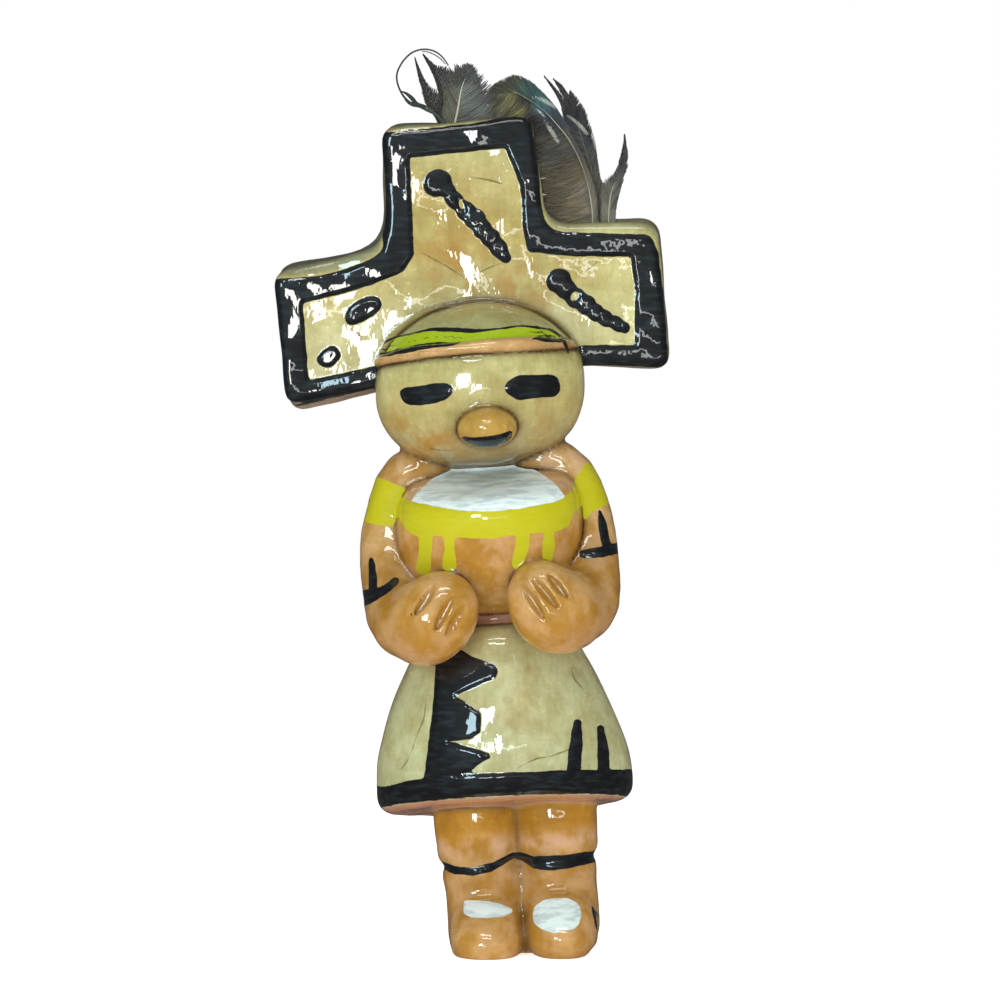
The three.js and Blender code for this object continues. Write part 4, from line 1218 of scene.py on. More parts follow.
@dataclass(frozen=True)
class GlazedClay:
    """Hand-painted earthenware under a thick clear gloss glaze.

    The eye sees brushed pigments, uneven over ochre clay, sunk under a wet-looking coat whose
    ripples, and the beads it makes over the thick black paint, break each light into sparkles.
    """

    black: str = "#0F1013"
    black_pale: str = "#1D2427"
    yellow: str = "#B8B200"
    lime: str = "#9DB400"
    white: str = "#E2F0EC"
    white_thin: str = "#9DB4B8"
    bare: str = "#A9755A"
    ochre: str = "#A06C12"
    groove: str = "#96630F"
    rust: str = "#8A6248"
    crack: str = "#5E4C20"
    # Brown of the glaze pooled in the joints, which also stands for the shade there: painted shade.
    pooled_glaze_and_shade: str = "#60400F"
    pink: str = "#C99E7C"

    # Each grain: its name, width in millimetres, detail, and how it is squeezed along x, y and z.
    GRAINS = (
        ("wobble", 2.2, 2, (1, 1, 1)), ("mottle", 5.0, 3, (1, 1, 1)), ("worn", 4.2, 3, (1, 1, 0.8)),
        ("brush", 0.9, 3, (1, 1, 0.4)), ("sweep", 0.8, 4, (0.22, 0.4, 1)),
        ("crumb", 0.8, 3, (1, 1, 1)), ("scuff", 0.9, 1, (1, 1, 0.5)),
        ("ripple", 2.3, 0.3, (1, 1, 1)), ("wave", 7.0, 1, (1, 1, 1)),
    )
    # Each share: its name, the grain, the levels it is eased between and what it runs from and to.
    SHARES = (
        ("mottled", "mottle", 0.34, 0.66, 0, 0.5), ("pale", "brush", 0.5, 0.8, 0, 1),
        ("dark", "brush", 0.5, 0.25, 0, 1), ("grainy", "crumb", 0.58, 0.75, 0, 1),
        ("thin", "worn", 0.36, 0.64, 0.05, 1), ("rosy", "worn", 0.62, 0.36, 0, 1),
        ("covering", "sweep", 0.36, 0.66, 1, 0.92), ("chalky", "sweep", 0.42, 0.62, 0, 0.55),
        ("inky", "sweep", 0.45, 0.7, 0, 1), ("worked", "sweep", 0.35, 0.6, 0.2, 0),
    )
    # What a share multiplies the ground by.
    TINTS = (("mottled", (0.60, 0.54, 0.33, 1)), ("pale", (1.14, 1.13, 1.09, 1)),
             ("dark", (0.9, 0.87, 0.78, 1)), ("grainy", (1.25, 1.24, 1.2, 1)))
    BEAD, RIPPLE, WAVE, SCUFF = 1.25, 0.25, 0.4, 0.12  # heights, as shares of the bump's
    BUMP = 0.19  # millimetres

    def material(self) -> bpy.types.Material:
        """The node material."""
        tree = Tree("painted_and_glazed_earthenware")
        add = tree.add
        soft = {"interpolation_type": "SMOOTHSTEP"}
        rgb = {"output": 2, "data_type": "RGBA"}
        where = add("TexCoord", output="Object")
        grain, share = {}, {}
        for name, size, detail, squeeze in self.GRAINS:
            place = add("Mapping", {"Vector": where, "Scale": squeeze})
            grain[name] = add("TexNoise", {"Vector": place, "Scale": 1 / (size * MM),
                                           "Detail": detail})
        for name, kind, low, high, start, end in self.SHARES:
            share[name] = add("MapRange", {0: grain[kind], 1: low, 2: high, 3: start, 4: end},
                              **soft)
        stored = {name: add("Attribute", output="Fac", attribute_name=name)
                  for name in ("black", "yellow", "lime", "white", "bare", "grooves", "rust",
                               "thin", "rosy", "crease", "brow", "brow_half", "crack",
                               "crack_half")}
        ragged = add("MapRange", {0: grain["wobble"], 1: 0.3, 2: 0.7, 3: -0.09, 4: 0.09})

        base = add("Attribute", output="Color", attribute_name="ground")
        for name, tint in self.TINTS:
            base = add("Mix", {0: share[name], 6: base, 7: tint}, blend_type="MULTIPLY", **rgb)
        for name, code in (("thin", self.ochre), ("rosy", self.pink)):
            much = add("Math", {0: stored[name], 1: share[name]}, operation="MULTIPLY")
            base = add("Mix", {0: much, 6: base, 7: linear(code)}, **rgb)
        # The crease colour is multiplied in as pooled glaze and painted shade.
        for name, low, high, most, code, way in (
                ("grooves", -0.35, 0.3, 0.9, self.groove, "MIX"),
                ("rust", -0.1, 0.3, 0.85, self.rust, "MIX"),
                ("crease", 0, 1, 1, self.pooled_glaze_and_shade, "MULTIPLY")):
            much = add("MapRange", {0: stored[name], 1: low, 2: high, 4: most})
            base = add("Mix", {0: much, 6: base, 7: linear(code)}, blend_type=way, **rgb)

        chalk = add("Mix", {0: share["chalky"], 6: linear(self.white),
                            7: linear(self.white_thin)}, **rgb)
        ink = add("Mix", {0: share["inky"], 6: linear(self.black),
                          7: linear(self.black_pale)}, **rgb)
        for name, colour, edge in (("bare", linear(self.bare), 0.25),
                                   ("lime", linear(self.lime), 0.06),
                                   ("yellow", linear(self.yellow), 0.06), ("white", chalk, 0.06)):
            place = add("Math", {0: stored[name], 1: ragged}, operation="ADD")
            inside = add("MapRange", {0: place, 1: -edge, 2: edge}, **soft)
            much = add("Math", {0: inside, 1: share["covering"]}, operation="MULTIPLY")
            base = add("Mix", {0: much, 6: base, 7: colour}, **rgb)
        drawn = {}
        for name, edge in (("crack", 0.12), ("brow", 0.06)):
            off = add("Math", {0: stored[name]}, operation="ABSOLUTE")
            within = add("Math", {0: stored[f"{name}_half"], 1: off}, operation="SUBTRACT")
            within = add("Math", {0: within, 1: ragged}, operation="ADD")
            drawn[name] = add("MapRange", {0: within, 1: -edge, 2: edge}, **soft)
        much = add("Math", {0: drawn["crack"], 1: 0.75}, operation="MULTIPLY")
        base = add("Mix", {0: much, 6: base, 7: linear(self.crack)}, **rgb)
        place = add("Math", {0: stored["black"], 1: ragged}, operation="ADD")
        inside = add("MapRange", {0: place, 1: -0.06, 2: 0.06}, **soft)
        inked = add("Math", {0: inside, 1: drawn["brow"]}, operation="MAXIMUM")
        base = add("Mix", {0: inked, 6: base, 7: ink}, **rgb)
        base = add("Mix", {0: share["worked"], 6: base, 7: (0.75, 0.72, 0.6, 1)},
                   blend_type="MULTIPLY", **rgb)

        bead = add("MapRange", {0: place, 1: -0.2, 2: 0.95}, **soft)
        height = add("Math", {0: grain["ripple"], 1: self.RIPPLE}, operation="MULTIPLY")
        for part, much in ((bead, self.BEAD), (grain["wave"], self.WAVE),
                           (grain["scuff"], self.SCUFF)):
            height = add("Math", {0: part, 1: much, 2: height}, operation="MULTIPLY_ADD")
        bump = add("Bump", {"Height": height, "Strength": 1.0, "Distance": self.BUMP * MM})
        shader = add("BsdfPrincipled", {
            "Base Color": base, "Roughness": 0.5, "IOR": 1.5, "Specular IOR Level": 0.25,
            "Coat Weight": 1.0, "Coat Roughness": 0.03, "Coat IOR": 1.54, "Normal": bump,
            "Coat Normal": bump})
        add("OutputMaterial", {"Surface": shader})
        return tree.material


@dataclass(frozen=True)
class Plumage:
    """Keratin barbs: soft and matt, each a little lighter or darker than the next.

    The barbs carry their own colour, and a pale bar crosses them where one is laid.

    Attributes:
        name: The material's name.
        bar: Colour of the pale bars.
        shaft: Colour of the shaft.
    """

    name: str
    bar: str = "#A9A99C"
    shaft: str = "#A29C84"

    def material(self) -> bpy.types.Material:
        """The node material, read from the barbs' stored values."""
        tree = Tree(self.name)
        add = tree.add
        stored = {name: add("Attribute", output="Fac", attribute_name=name)
                  for name in ("bar", "lock", "shaft")}
        colour = add("Attribute", output="Color", attribute_name="tint")
        shade = add("MapRange", {0: stored["lock"], 3: 0.42, 4: 1.2})
        grey = add("CombineColor", {0: shade, 1: shade, 2: shade})
        colour = add("Mix", {0: 1.0, 6: colour, 7: grey}, 2, data_type="RGBA",
                     blend_type="MULTIPLY")
        for name, low, high, code in (("bar", -0.08, 0.1, self.bar), ("shaft", 0.4, 0.6, self.shaft)):
            share = add("MapRange", {0: stored[name], 1: low, 2: high, 3: 0, 4: 0.9})
            colour = add("Mix", {0: share, 6: colour, 7: linear(code)}, 2, data_type="RGBA")
        shader = add("BsdfPrincipled", {"Base Color": colour, "Roughness": 0.55, "IOR": 1.54,
                                        "Sheen Weight": 0.15, "Sheen Roughness": 0.4})
        add("OutputMaterial", {"Surface": shader})
        return tree.material


@dataclass(frozen=True)
class PaleCard:
    """A plain sweep of matt white card, lit from behind a little, so that it has no horizon."""

    colour: str = "#F6F6F4"
    glow: float = 0.72

    def material(self) -> bpy.types.Material:
        """The node material."""
        tree = Tree("matt_white_card")
        shader = tree.add("BsdfPrincipled", {
            "Base Color": linear(self.colour), "Roughness": 0.9, "Specular IOR Level": 0.0,
            "Emission Color": linear("#FFFFFF"), "Emission Strength": self.glow})
        tree.add("OutputMaterial", {"Surface": shader})
        return tree.material


# ---- Feathers ----


@dataclass(frozen=True)
class Quill:
    """A feather's shaft, or one bare barb: a thin round tube along a smooth path.

    Attributes:
        path: (x, z) places from the root to the tip.
        y: Depth at the root, and how far it moves on by the tip.
        radii: Radius at even shares of the length.
        is_shaft: Whether it has the shaft's colour.
    """

    path: tuple[tuple[float, float], ...]
    y: tuple[float, float]
    radii: tuple[float, ...]
    is_shaft: bool = True

    RINGS = 64
    SIDES = 6

    def places(self, count: int) -> Array:
        """Evenly spaced points (x, y, z) up the path."""
        flat = smooth_path(np.array(self.path), count)
        y = np.linspace(*self.y, count)
        return np.stack([flat[:, 0], y, flat[:, 1]], axis=1)

    def mesh(self) -> tuple[Array, Array, dict[str, Array]]:
        """The tube: path + r (cos a * across + sin a * out), closed by a fan at both ends."""
        rings, sides = self.RINGS, self.SIDES
        path = self.places(rings)
        up = np.gradient(path, axis=0)
        up /= np.linalg.norm(up, axis=1, keepdims=True)
        across = np.cross(up, [0, 1.0, 0])
        across /= np.linalg.norm(across, axis=1, keepdims=True)
        out = np.cross(up, across)
        radius = eased(np.linspace(0, 1, len(self.radii)), np.array(self.radii),
                       np.linspace(0, 1, rings))[:, None, None]
        angle = np.linspace(0, 2 * np.pi, sides, endpoint=False)[None, :, None]
        points = path[:, None] + radius * (np.cos(angle) * across[:, None]
                                           + np.sin(angle) * out[:, None])
        k, i = np.arange(rings - 1)[:, None], np.arange(sides)[None, :]
        a, b = k * sides + i, k * sides + (i + 1) % sides
        walls = np.stack([a, b, b + sides, a, b + sides, a + sides], axis=-1).reshape(-1, 3)
        fan, last = np.arange(1, sides - 1), (rings - 1) * sides
        low = np.stack([0 * fan, fan + 1, fan], axis=1)
        high = np.stack([0 * fan + last, fan + last, fan + 1 + last], axis=1)
        count = rings * sides
        return points.reshape(-1, 3), np.concatenate([walls, low, high]), {
            "lock": np.full(count, 0.45), "shaft": np.full(count, float(self.is_shaft))}


@dataclass(frozen=True)
class Vane:
    """Barbs on one side of a shaft, each a thin three-sided blade that ends on the vane's edge.

    Attributes:
        shaft: The shaft that carries them.
        edge: (x, z) places along the vane's outer edge, from the root to the tip.
        barbs: How many.
        lead: How much further along the edge a barb ends than it starts along the shaft.
        blade: Width of a barb.
        ragged: How much the barbs' lengths vary.
        bow: How far a barb bends towards the root between its ends, as a share of its length.
        wave: Waviness of downy barbs, as a share of their length.
        cup: How far the edge stands in front of the shaft.
        seed: Number that fixes the variation.
    """

    shaft: Quill
    edge: tuple[tuple[float, float], ...]
    barbs: int = 160
    lead: float = 0.14
    blade: float = 0.3
    ragged: float = 0.06
    bow: float = 0.1
    wave: float = 0.0
    cup: float = 0.4
    seed: int = 1

    SEGMENTS = 7

    def mesh(self) -> tuple[Array, Array, dict[str, Array]]:
        """All barbs at once, each on (1-s)^2 root + 2 s (1-s) bend + s^2 tip, s from 0 to 1.

        Returns:
            Points, triangles, and the stored values of each point.
        """
        rng = np.random.default_rng(self.seed)
        count = self.barbs
        share = (np.arange(count) + rng.uniform(-0.8, 0.8, count)) / (count - 1)
        share = np.clip(share, 0, 1)
        shaft = self.shaft.places(200)
        flat = smooth_path(np.array(self.edge), 200)
        edge = np.stack([flat[:, 0], shaft[:, 1] - self.cup, flat[:, 1]], axis=1)
        start = np.clip(share * (1 + self.lead) - self.lead, 0, 0.985)
        rows = np.linspace(0, 1, 200)
        root = np.stack([np.interp(start, rows, column) for column in shaft.T], axis=1)
        tip = np.stack([np.interp(share, rows, column) for column in edge.T], axis=1)
        bunch = np.sin(np.floor(share * count / 9) * 12.9898 + self.seed) * 43758.5453
        bunch -= np.floor(bunch)
        lengths = 1 + self.ragged * (rng.uniform(-1.6, 0.5, count) - 1.4 * (bunch > 0.72))
        tip = root + (tip - root) * lengths[:, None]
        run = np.linalg.norm(tip - root, axis=1, keepdims=True)
        up = np.stack([np.interp(start, rows, column)
                       for column in np.gradient(shaft, axis=0).T], axis=1)
        up /= np.linalg.norm(up, axis=1, keepdims=True)
        bend = 0.5 * (root + tip) - up * run * self.bow * (0.7 + 0.6 * bunch[:, None])
        s = np.linspace(0, 1, self.SEGMENTS + 1)[None, :, None]
        line = ((1 - s) ** 2 * root[:, None] + 2 * s * (1 - s) * bend[:, None]
                + s**2 * tip[:, None])
        phase = rng.uniform(0, 2 * np.pi, (count, 1, 1))
        line += up[:, None] * (self.wave * run[:, None] * s * np.sin(7 * s + phase))
        line[..., 1] -= (rng.uniform(0, 0.5, (count, 1)) * s[..., 0]
                         + 0.35 * bunch[:, None] * s[..., 0])
        way = np.gradient(line, axis=1)
        way /= np.maximum(np.linalg.norm(way, axis=2, keepdims=True), 1e-9)
        flat_way = np.cross(way, np.array([0, -1.0, 0]))
        flat_way /= np.maximum(np.linalg.norm(flat_way, axis=2, keepdims=True), 1e-9)
        taper = self.blade / 2 * (1 - 0.8 * s**2.5)
        thick = np.cross(flat_way, way) * 0.4
        ring = np.stack([line + flat_way * taper, line - flat_way * taper,
                         line + thick * taper], axis=2)
        per = (self.SEGMENTS + 1) * 3
        k, i = np.arange(self.SEGMENTS)[:, None], np.arange(3)[None, :]
        a, b = k * 3 + i, k * 3 + (i + 1) % 3
        walls = np.stack([a, b, b + 3, a, b + 3, a + 3], axis=-1).reshape(-1, 3)
        one = np.concatenate([walls, [[0, 2, 1], [per - 3, per - 2, per - 1]]])
        faces = (one[None] + (np.arange(count) * per)[:, None, None]).reshape(-1, 3)
        lock = 0.4 * bunch + 0.6 * rng.uniform(0, 1, count) ** 1.4
        return ring.reshape(-1, 3), faces, {"lock": np.repeat(lock, per),
                                            "shaft": np.zeros(count * per)}


def joined(parts: list[tuple[Array, Array, dict[str, Array]]]
           ) -> tuple[Array, Array, dict[str, Array]]:
    """Several meshes as one: points in a row, and faces numbered on from each other."""
    starts = np.cumsum([0] + [len(points) for points, _, _ in parts[:-1]])
    points = np.concatenate([part[0] for part in parts])
    faces = np.concatenate([part[1] + start for part, start in zip(parts, starts)])
    values = {key: np.concatenate([part[2][key] for part in parts]) for key in parts[0][2]}
    return points, faces, values


@dataclass(frozen=True)
class Feather:
    """One feather of the headdress: its quills and vanes, standing for one CAD node.

    Attributes:
        node: The CAD node.
        slot: Its material slot.
        parts: Its quills and vanes.
        tints: (x, z, colour) of the barbs, melted into each other.
        finish: Its finish.
        bars: Pale bars, each a path of (x, z) and its half widths.
    """

    node: str
    slot: Slot
    parts: tuple[Quill | Vane, ...]
    tints: tuple[tuple[float, float, str], ...]
    finish: Plumage
    bars: tuple[tuple[tuple[tuple[float, float], ...], tuple[float, ...]], ...] = ()

    def tinted(self, points: Array) -> Array:
        """Linear RGB at each point: the tints weighed by exp(-d^2 / 1.6) of their distances d."""
        spots = np.array([tint[:2] for tint in self.tints])
        codes = np.array([linear(tint[2])[:3] for tint in self.tints])
        far = ((points[:, None, [0, 2]] - spots[None]) ** 2).sum(axis=2)
        weights = np.exp(-(far - far.min(axis=1, keepdims=True)) / 1.6)
        return weights @ codes / weights.sum(axis=1, keepdims=True)

    def barred(self, points: Array) -> Array:
        """Distance inside the pale bars, which wander a little from barb to barb."""
        inside = np.full(len(points), -9.0)
        for path, halves in self.bars:
            line = smooth_path(np.array(path), 24)
            radii = eased(np.linspace(0, 1, len(halves)), np.array(halves), np.linspace(0, 1, 24))
            inside = np.maximum(inside, -path_gap(points[:, [0, 2]], line, radii))
        return inside

    def build(self) -> bpy.types.Object:
        """Makes the feather's piece, leaned over with the figure."""
        points, faces, values = joined([part.mesh() for part in self.parts])
        obj = piece_of(self.node.replace("feather_", "plume_"), to_standing(points), faces)
        values |= {"tint": self.tinted(points), "bar": self.barred(points)}
        for name, numbers in values.items():
            put_values(obj.data, name, numbers)
        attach(obj, "root")
        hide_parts(self.node)
        return obj

    def dress(self, obj: bpy.types.Object) -> None:
        """Gives the barbs their finish."""
        obj.data.materials.append(self.finish.material())


class Headdress:
    """The six feathers, each rooted in the slab's top edge."""

    def __init__(self, slab: SteppedSlab) -> None:
        """Places the roots on the slab's middle plane.

        Args:
            slab: The headdress slab.
        """
        self.top = float(slab.middle(152.0))
        self.step = float(slab.middle(132.4))

    def feathers(self) -> list[Feather]:
        """All six, from the left to the right."""
        return [self.spikes(), self.downy(), self.loop(), self.long(), self.back(), self.short()]

    def downy(self) -> Feather:
        """Grey down with a pale shaft and a ragged top."""
        shaft = Quill(((-0.6, 148.4), (-0.4, 150.5), (0.2, 152.4), (0.8, 154.7), (1.5, 157.2),
                       (2.3, 159.0), (2.9, 160.4)), (self.top - 0.4, self.top - 1.6),
                      (0.27, 0.25, 0.2, 0.12, 0.05))
        left = ((-2.8, 150.4), (-2.2, 154.3), (-1.7, 157.2), (-1.1, 159.5), (-0.3, 161.1),
                (1.1, 161.6), (2.6, 161.6))
        right = ((6.4, 149.4), (7.3, 151.2), (7.7, 153.4), (7.2, 155.4), (6.6, 157.2), (6.0, 158.2),
                 (5.4, 159.2), (4.5, 160.3), (3.8, 161.2), (2.7, 161.6))
        vanes = (Vane(shaft, left, 150, 0.3, 0.34, 0.1, 0.1, 0.03, 0.3, 11),
                 Vane(shaft, right, 190, 0.3, 0.34, 0.08, 0.16, 0.02, 0.5, 12),
                 Vane(shaft, right, 120, 0.22, 0.3, 0.16, 0.22, 0.03, -0.4, 13))
        tints = ((-1.8, 152, "#6A6852"), (-1.2, 156, "#63614F"), (0, 160, "#4A4840"),
                 (1.6, 159.4, "#3A3936"), (2.6, 156, "#6A6D64"), (4.5, 153, "#70736C"),
                 (6, 155, "#5F605A"), (5, 158.6, "#55564F"), (3, 161, "#4E4D48"),
                 (3, 151, "#5F5E52"))
        return Feather("feather_grey_downy", Slot.DOWNY, (shaft, *vanes), tints,
                       Plumage("grey_down", shaft="#B3AE98"))

    def spikes(self) -> Feather:
        """A brown-grey feather, split into two dark spikes."""
        y = self.top + 1.4
        outer = Quill(((-2.0, 148.6), (-2.6, 151.5), (-4, 154.1), (-4.8, 156.5), (-5.4, 158.5),
                       (-6, 160.5), (-6.4, 162.1), (-6.6, 163.6)), (y, y), (0.2, 0.15, 0.08, 0.04))
        inner = Quill(((-0.9, 148.6), (-1.2, 151.4), (-1.6, 154.3), (-2.2, 157.3), (-2.8, 159.5),
                       (-3.6, 161.5), (-4.4, 162.9), (-5.1, 164.1)), (y, y), (0.2, 0.15, 0.08, 0.04))
        tints = ((-2, 151, "#54503C"), (-3.6, 155, "#464238"), (-4.4, 157.6, "#3E3B36"),
                 (-6, 161, "#2C2B29"), (-2, 156.5, "#5A5546"), (-1.4, 160, "#4C4942"),
                 (-3.4, 161.6, "#3E3D39"), (-5, 164, "#242424"), (-2.4, 153.4, "#403C33"))
        vanes = (
            Vane(outer, ((-2.9, 149.4), (-3.9, 152.7), (-5.1, 154.5), (-5.7, 156.2), (-6.0, 158.1),
                         (-6.3, 160.1), (-6.5, 161.9), (-6.6, 163.8)), 110, 0.2, 0.26, 0.08, seed=21),
            Vane(outer, ((-1.2, 149.4), (-1.2, 152.3), (-1.6, 155.1), (-2.6, 157.4), (-4.1, 158.2),
                         (-5.1, 159.6), (-5.9, 161.7), (-6.6, 163.8)), 150, 0.2, 0.28, 0.08, seed=22),
            Vane(inner, ((-2.4, 149.4), (-2.7, 152.4), (-2.9, 155.2), (-3.0, 157.9), (-3.6, 160.1),
                         (-4.3, 162), (-4.9, 163.3), (-5.1, 164.3)), 120, 0.2, 0.28, 0.06, seed=23),
            Vane(inner, ((0.8, 149.4), (0.9, 152.1), (0.7, 154.1), (0.6, 157.1), (0.2, 159.8),
                         (-0.7, 161.5), (-2.8, 162.0), (-4.2, 163.3), (-5.1, 164.3)), 170, 0.22,
                 0.32, 0.06, seed=24))
        return Feather("feather_split_spikes", Slot.DOWNY, (outer, inner, *vanes), tints,
                       Plumage("brown_grey_down", shaft="#3E3B33"))

    def loop(self) -> Feather:
        """A thin black-green barb that leaves its root sideways and curls right over."""
        y = self.top - 1.7
        ring = ((-1.6, 149.2), (-2.6, 151.6), (-3.9, 153.0), (-5.2, 153.8), (-6.3, 154.6),
                (-8, 155.2), (-9, 156.2), (-9.7, 157.6), (-10.1, 159.2), (-10, 160.6),
                (-9.3, 162.0), (-8.3, 163.2), (-6.9, 164.2), (-5.1, 164.6), (-3.4, 164.3),
                (-2.1, 163.5), (-1.2, 162.4), (-0.6, 161.3))
        main = Quill(ring, (y, y - 0.6), (0.3, 0.26, 0.22, 0.17, 0.16, 0.16, 0.15, 0.12), False)
        strands = (
            Quill(((-5.2, 164.3), (-4, 164.0), (-2.7, 163.3), (-1.8, 162.5), (-1.1, 161.6)),
                  (y - 0.5, y - 0.4), (0.08, 0.1, 0.1, 0.08), False),
            Quill(((-9.5, 157.4), (-8.6, 156.9), (-7.7, 156.0), (-6.9, 155.0), (-5.4, 154.4),
                   (-3.8, 153.3)), (y, y - 0.2), (0.1, 0.3, 0.38, 0.22, 0.14, 0.1), False),
            Quill(((-9.2, 156.7), (-8.8, 155.9), (-8.3, 155.3), (-7.6, 154.8), (-6.4, 154.4),
                   (-5.0, 153.4), (-3.6, 152.6)), (y - 0.2, y), (0.1, 0.28, 0.34, 0.3, 0.2, 0.12, 0.1),
                  False))
        tints = ((-3, 152, "#3A4A3C"), (-8, 155.6, "#1E2C27"), (-10, 160, "#1B2020"),
                 (-3, 164, "#25292A"))
        return Feather("feather_curled_barb", Slot.BARB, (main, *strands), tints,
                       Plumage("black_green_barb"))

    def long(self) -> Feather:
        """The long arching feather: brown below, dark and barred above, an olive drooping tip."""
        y = self.step
        shaft = Quill(((23.1, 129), (23.4, 131), (23.5, 133.6), (23.0, 138.7), (21.8, 143.1),
                       (20.1, 146.8), (18.3, 149.4), (16.5, 151.7), (15.1, 153), (13, 154.7),
                       (10.6, 156.0), (8.8, 155.8), (7.2, 154.6)), (y, y - 1.2),
                      (0.26, 0.24, 0.2, 0.16, 0.12, 0.08, 0.05))
        upper = ((24.4, 130), (24.5, 135.3), (23.9, 139), (22.8, 142.6), (21.6, 145.8),
                 (20.3, 148.5), (19.6, 150.1), (18.6, 152.1), (17.1, 154.3), (15.4, 156.3),
                 (13.9, 157.8), (12.4, 158.7), (11, 159.0), (9.2, 158.5), (7.1, 157.5), (5.9, 156.3),
                 (6.2, 154.5))
        lower = ((21.8, 129.6), (19.6, 130.2), (17.2, 131), (15.2, 132.6), (13.8, 135),
                 (13.1, 138.4), (12.9, 141.5), (12.9, 144.1), (12.7, 147), (12, 148.8),
                 (10.6, 149.7), (9, 150), (7.6, 150.1), (6.4, 150.9), (5.9, 152.6), (6.1, 154.4))
        vanes = (Vane(shaft, lower, 420, 0.13, 0.5, 0.05, 0.1, 0.008, 0.9, 31),
                 Vane(shaft, lower, 300, 0.08, 0.36, 0.08, 0.16, 0.02, 1.3, 32),
                 Vane(shaft, lower, 90, 0.26, 0.24, 0.22, 0.24, 0.05, 1.8, 35),
                 Vane(shaft, upper, 340, 0.1, 0.36, 0.02, 0.06, 0.0, 0.2, 33),
                 Vane(shaft, upper, 200, 0.07, 0.34, 0.04, 0.08, 0.0, -0.2, 34))
        tints = ((6.9, 154.1, "#5F5E3E"), (9.8, 154.3, "#6B683F"), (9.1, 157.7, "#464430"),
                 (11.8, 158.1, "#46442A"), (11, 152.4, "#857E46"), (13.4, 150.6, "#2A2018"),
                 (12.3, 154.1, "#2B241B"), (14.8, 148.9, "#2C241D"), (15.3, 155.9, "#1F5450"),
                 (16.7, 154, "#2C6A66"), (13.2, 156.6, "#2F5A50"), (18.5, 151.7, "#3A4650"),
                 (15.9, 152.6, "#3E5A62"), (17.1, 150.3, "#33393C"), (17.1, 144.4, "#54504A"),
                 (15.2, 145.8, "#4A4336"), (18.7, 142.3, "#59503C"), (16.3, 140.3, "#655A3E"),
                 (19.5, 138.9, "#685C40"), (17.3, 136.2, "#5E5036"), (20.3, 134.9, "#72654A"),
                 (22.2, 136.5, "#6F6656"), (23.5, 133.5, "#7C735F"), (19.3, 145.5, "#4E4A40"),
                 (8, 151.6, "#6E6848"))
        bars = ((((10.8, 156.0), (12.2, 155.1), (14.1, 153.6), (15.8, 151.2), (16.9, 148.8),
                  (18.2, 146.2)), (0.1, 0.2, 0.2, 0.26, 0.4, 0.3)),
                (((13.9, 154.9), (15.6, 154.3), (16.9, 153.5), (18.3, 152.3)),
                 (0.14, 0.3, 0.34, 0.2)))
        return Feather("feather_long_arching", Slot.BARRED, (shaft, *vanes), tints,
                       Plumage("barred_wing_feather"), bars)

    def back(self) -> Feather:
        """The dark barred feather behind it, split into spikes at its top."""
        y = self.step + 1.9
        shaft = Quill(((24.4, 129), (24.5, 130.9), (24.6, 134.2), (24.3, 138.6), (23.7, 141.9),
                       (23, 145.2), (22.3, 148.3), (21.7, 151.2), (21.3, 153.5), (21.1, 155.4)),
                      (y, y), (0.24, 0.2, 0.14, 0.1, 0.05))
        left = ((23.5, 130), (23.6, 135.3), (22.9, 138.6), (21.6, 142), (20.2, 145.4),
                (19.5, 147.6), (19.5, 150.3), (19.8, 152), (20.6, 154.1), (21, 155.7))
        right = ((25.4, 130), (25.8, 136.3), (25.7, 139.1), (25.4, 140.7), (25.2, 143.3),
                 (25.0, 146.4), (24.4, 149.3), (23.7, 151.9), (22.5, 154.2), (21.2, 155.9))
        spikes = []
        for rows, west, east, seed in (
                (((21.1, 148.4), (20.2, 151.3), (19.5, 153.6), (18.6, 155.6), (17.6, 157.3),
                  (16.6, 158.7)),
                 ((20, 148.5), (19.4, 150.9), (19.2, 153.2), (18.3, 155.5), (17.3, 157.3),
                  (16.6, 158.8)),
                 ((22.2, 148.3), (21.3, 151), (20.4, 153.5), (19.4, 155.3), (18.1, 157),
                  (16.7, 158.8)), 41),
                (((21.5, 150.8), (20.8, 153.5), (20.2, 155.3), (19.2, 156.9), (18.2, 158.1)),
                 ((20.6, 150.9), (20.2, 153.1), (19.5, 155), (18.8, 156.6), (18.2, 158.2)),
                 ((22.5, 150.7), (21.8, 153.2), (20.8, 155.1), (19.8, 156.8), (18.3, 158.2)), 43)):
            quill = Quill(rows, (y, y), (0.12, 0.1, 0.06, 0.03))
            spikes += [quill, Vane(quill, west, 90, 0.25, 0.24, 0.06, seed=seed),
                       Vane(quill, east, 90, 0.25, 0.24, 0.06, seed=seed + 1)]
        tints = ((24.5, 133.1, "#7A7262"), (24.1, 138.6, "#66614F"), (23.1, 143, "#56544C"),
                 (21.9, 147.1, "#4A4C4E"), (21.5, 150.1, "#34373B"), (22.5, 151.8, "#2E2C2B"),
                 (21.3, 154.1, "#3A3632"), (18.8, 156, "#3C3A36"), (20.5, 155.2, "#4A463F"),
                 (24.1, 148.4, "#222222"), (20.2, 148.5, "#4E5456"))
        bars = ((((20.2, 151.3), (21.5, 150.2), (22.5, 149.2), (23.6, 147.7)), (0.1, 0.3, 0.34, 0.3)),
                (((24.2, 147.7), (24.8, 146.4), (24.9, 144.8)), (0.1, 0.24, 0.1)))
        vanes = (Vane(shaft, left, 230, 0.16, 0.3, 0.05, 0.06, 0.0, 0.2, 45),
                 Vane(shaft, right, 230, 0.16, 0.3, 0.04, 0.06, 0.0, 0.1, 46))
        return Feather("feather_barred_back", Slot.BARRED, (shaft, *vanes, *spikes), tints,
                       Plumage("dark_barred_feather", shaft="#6E6A5E"), bars)

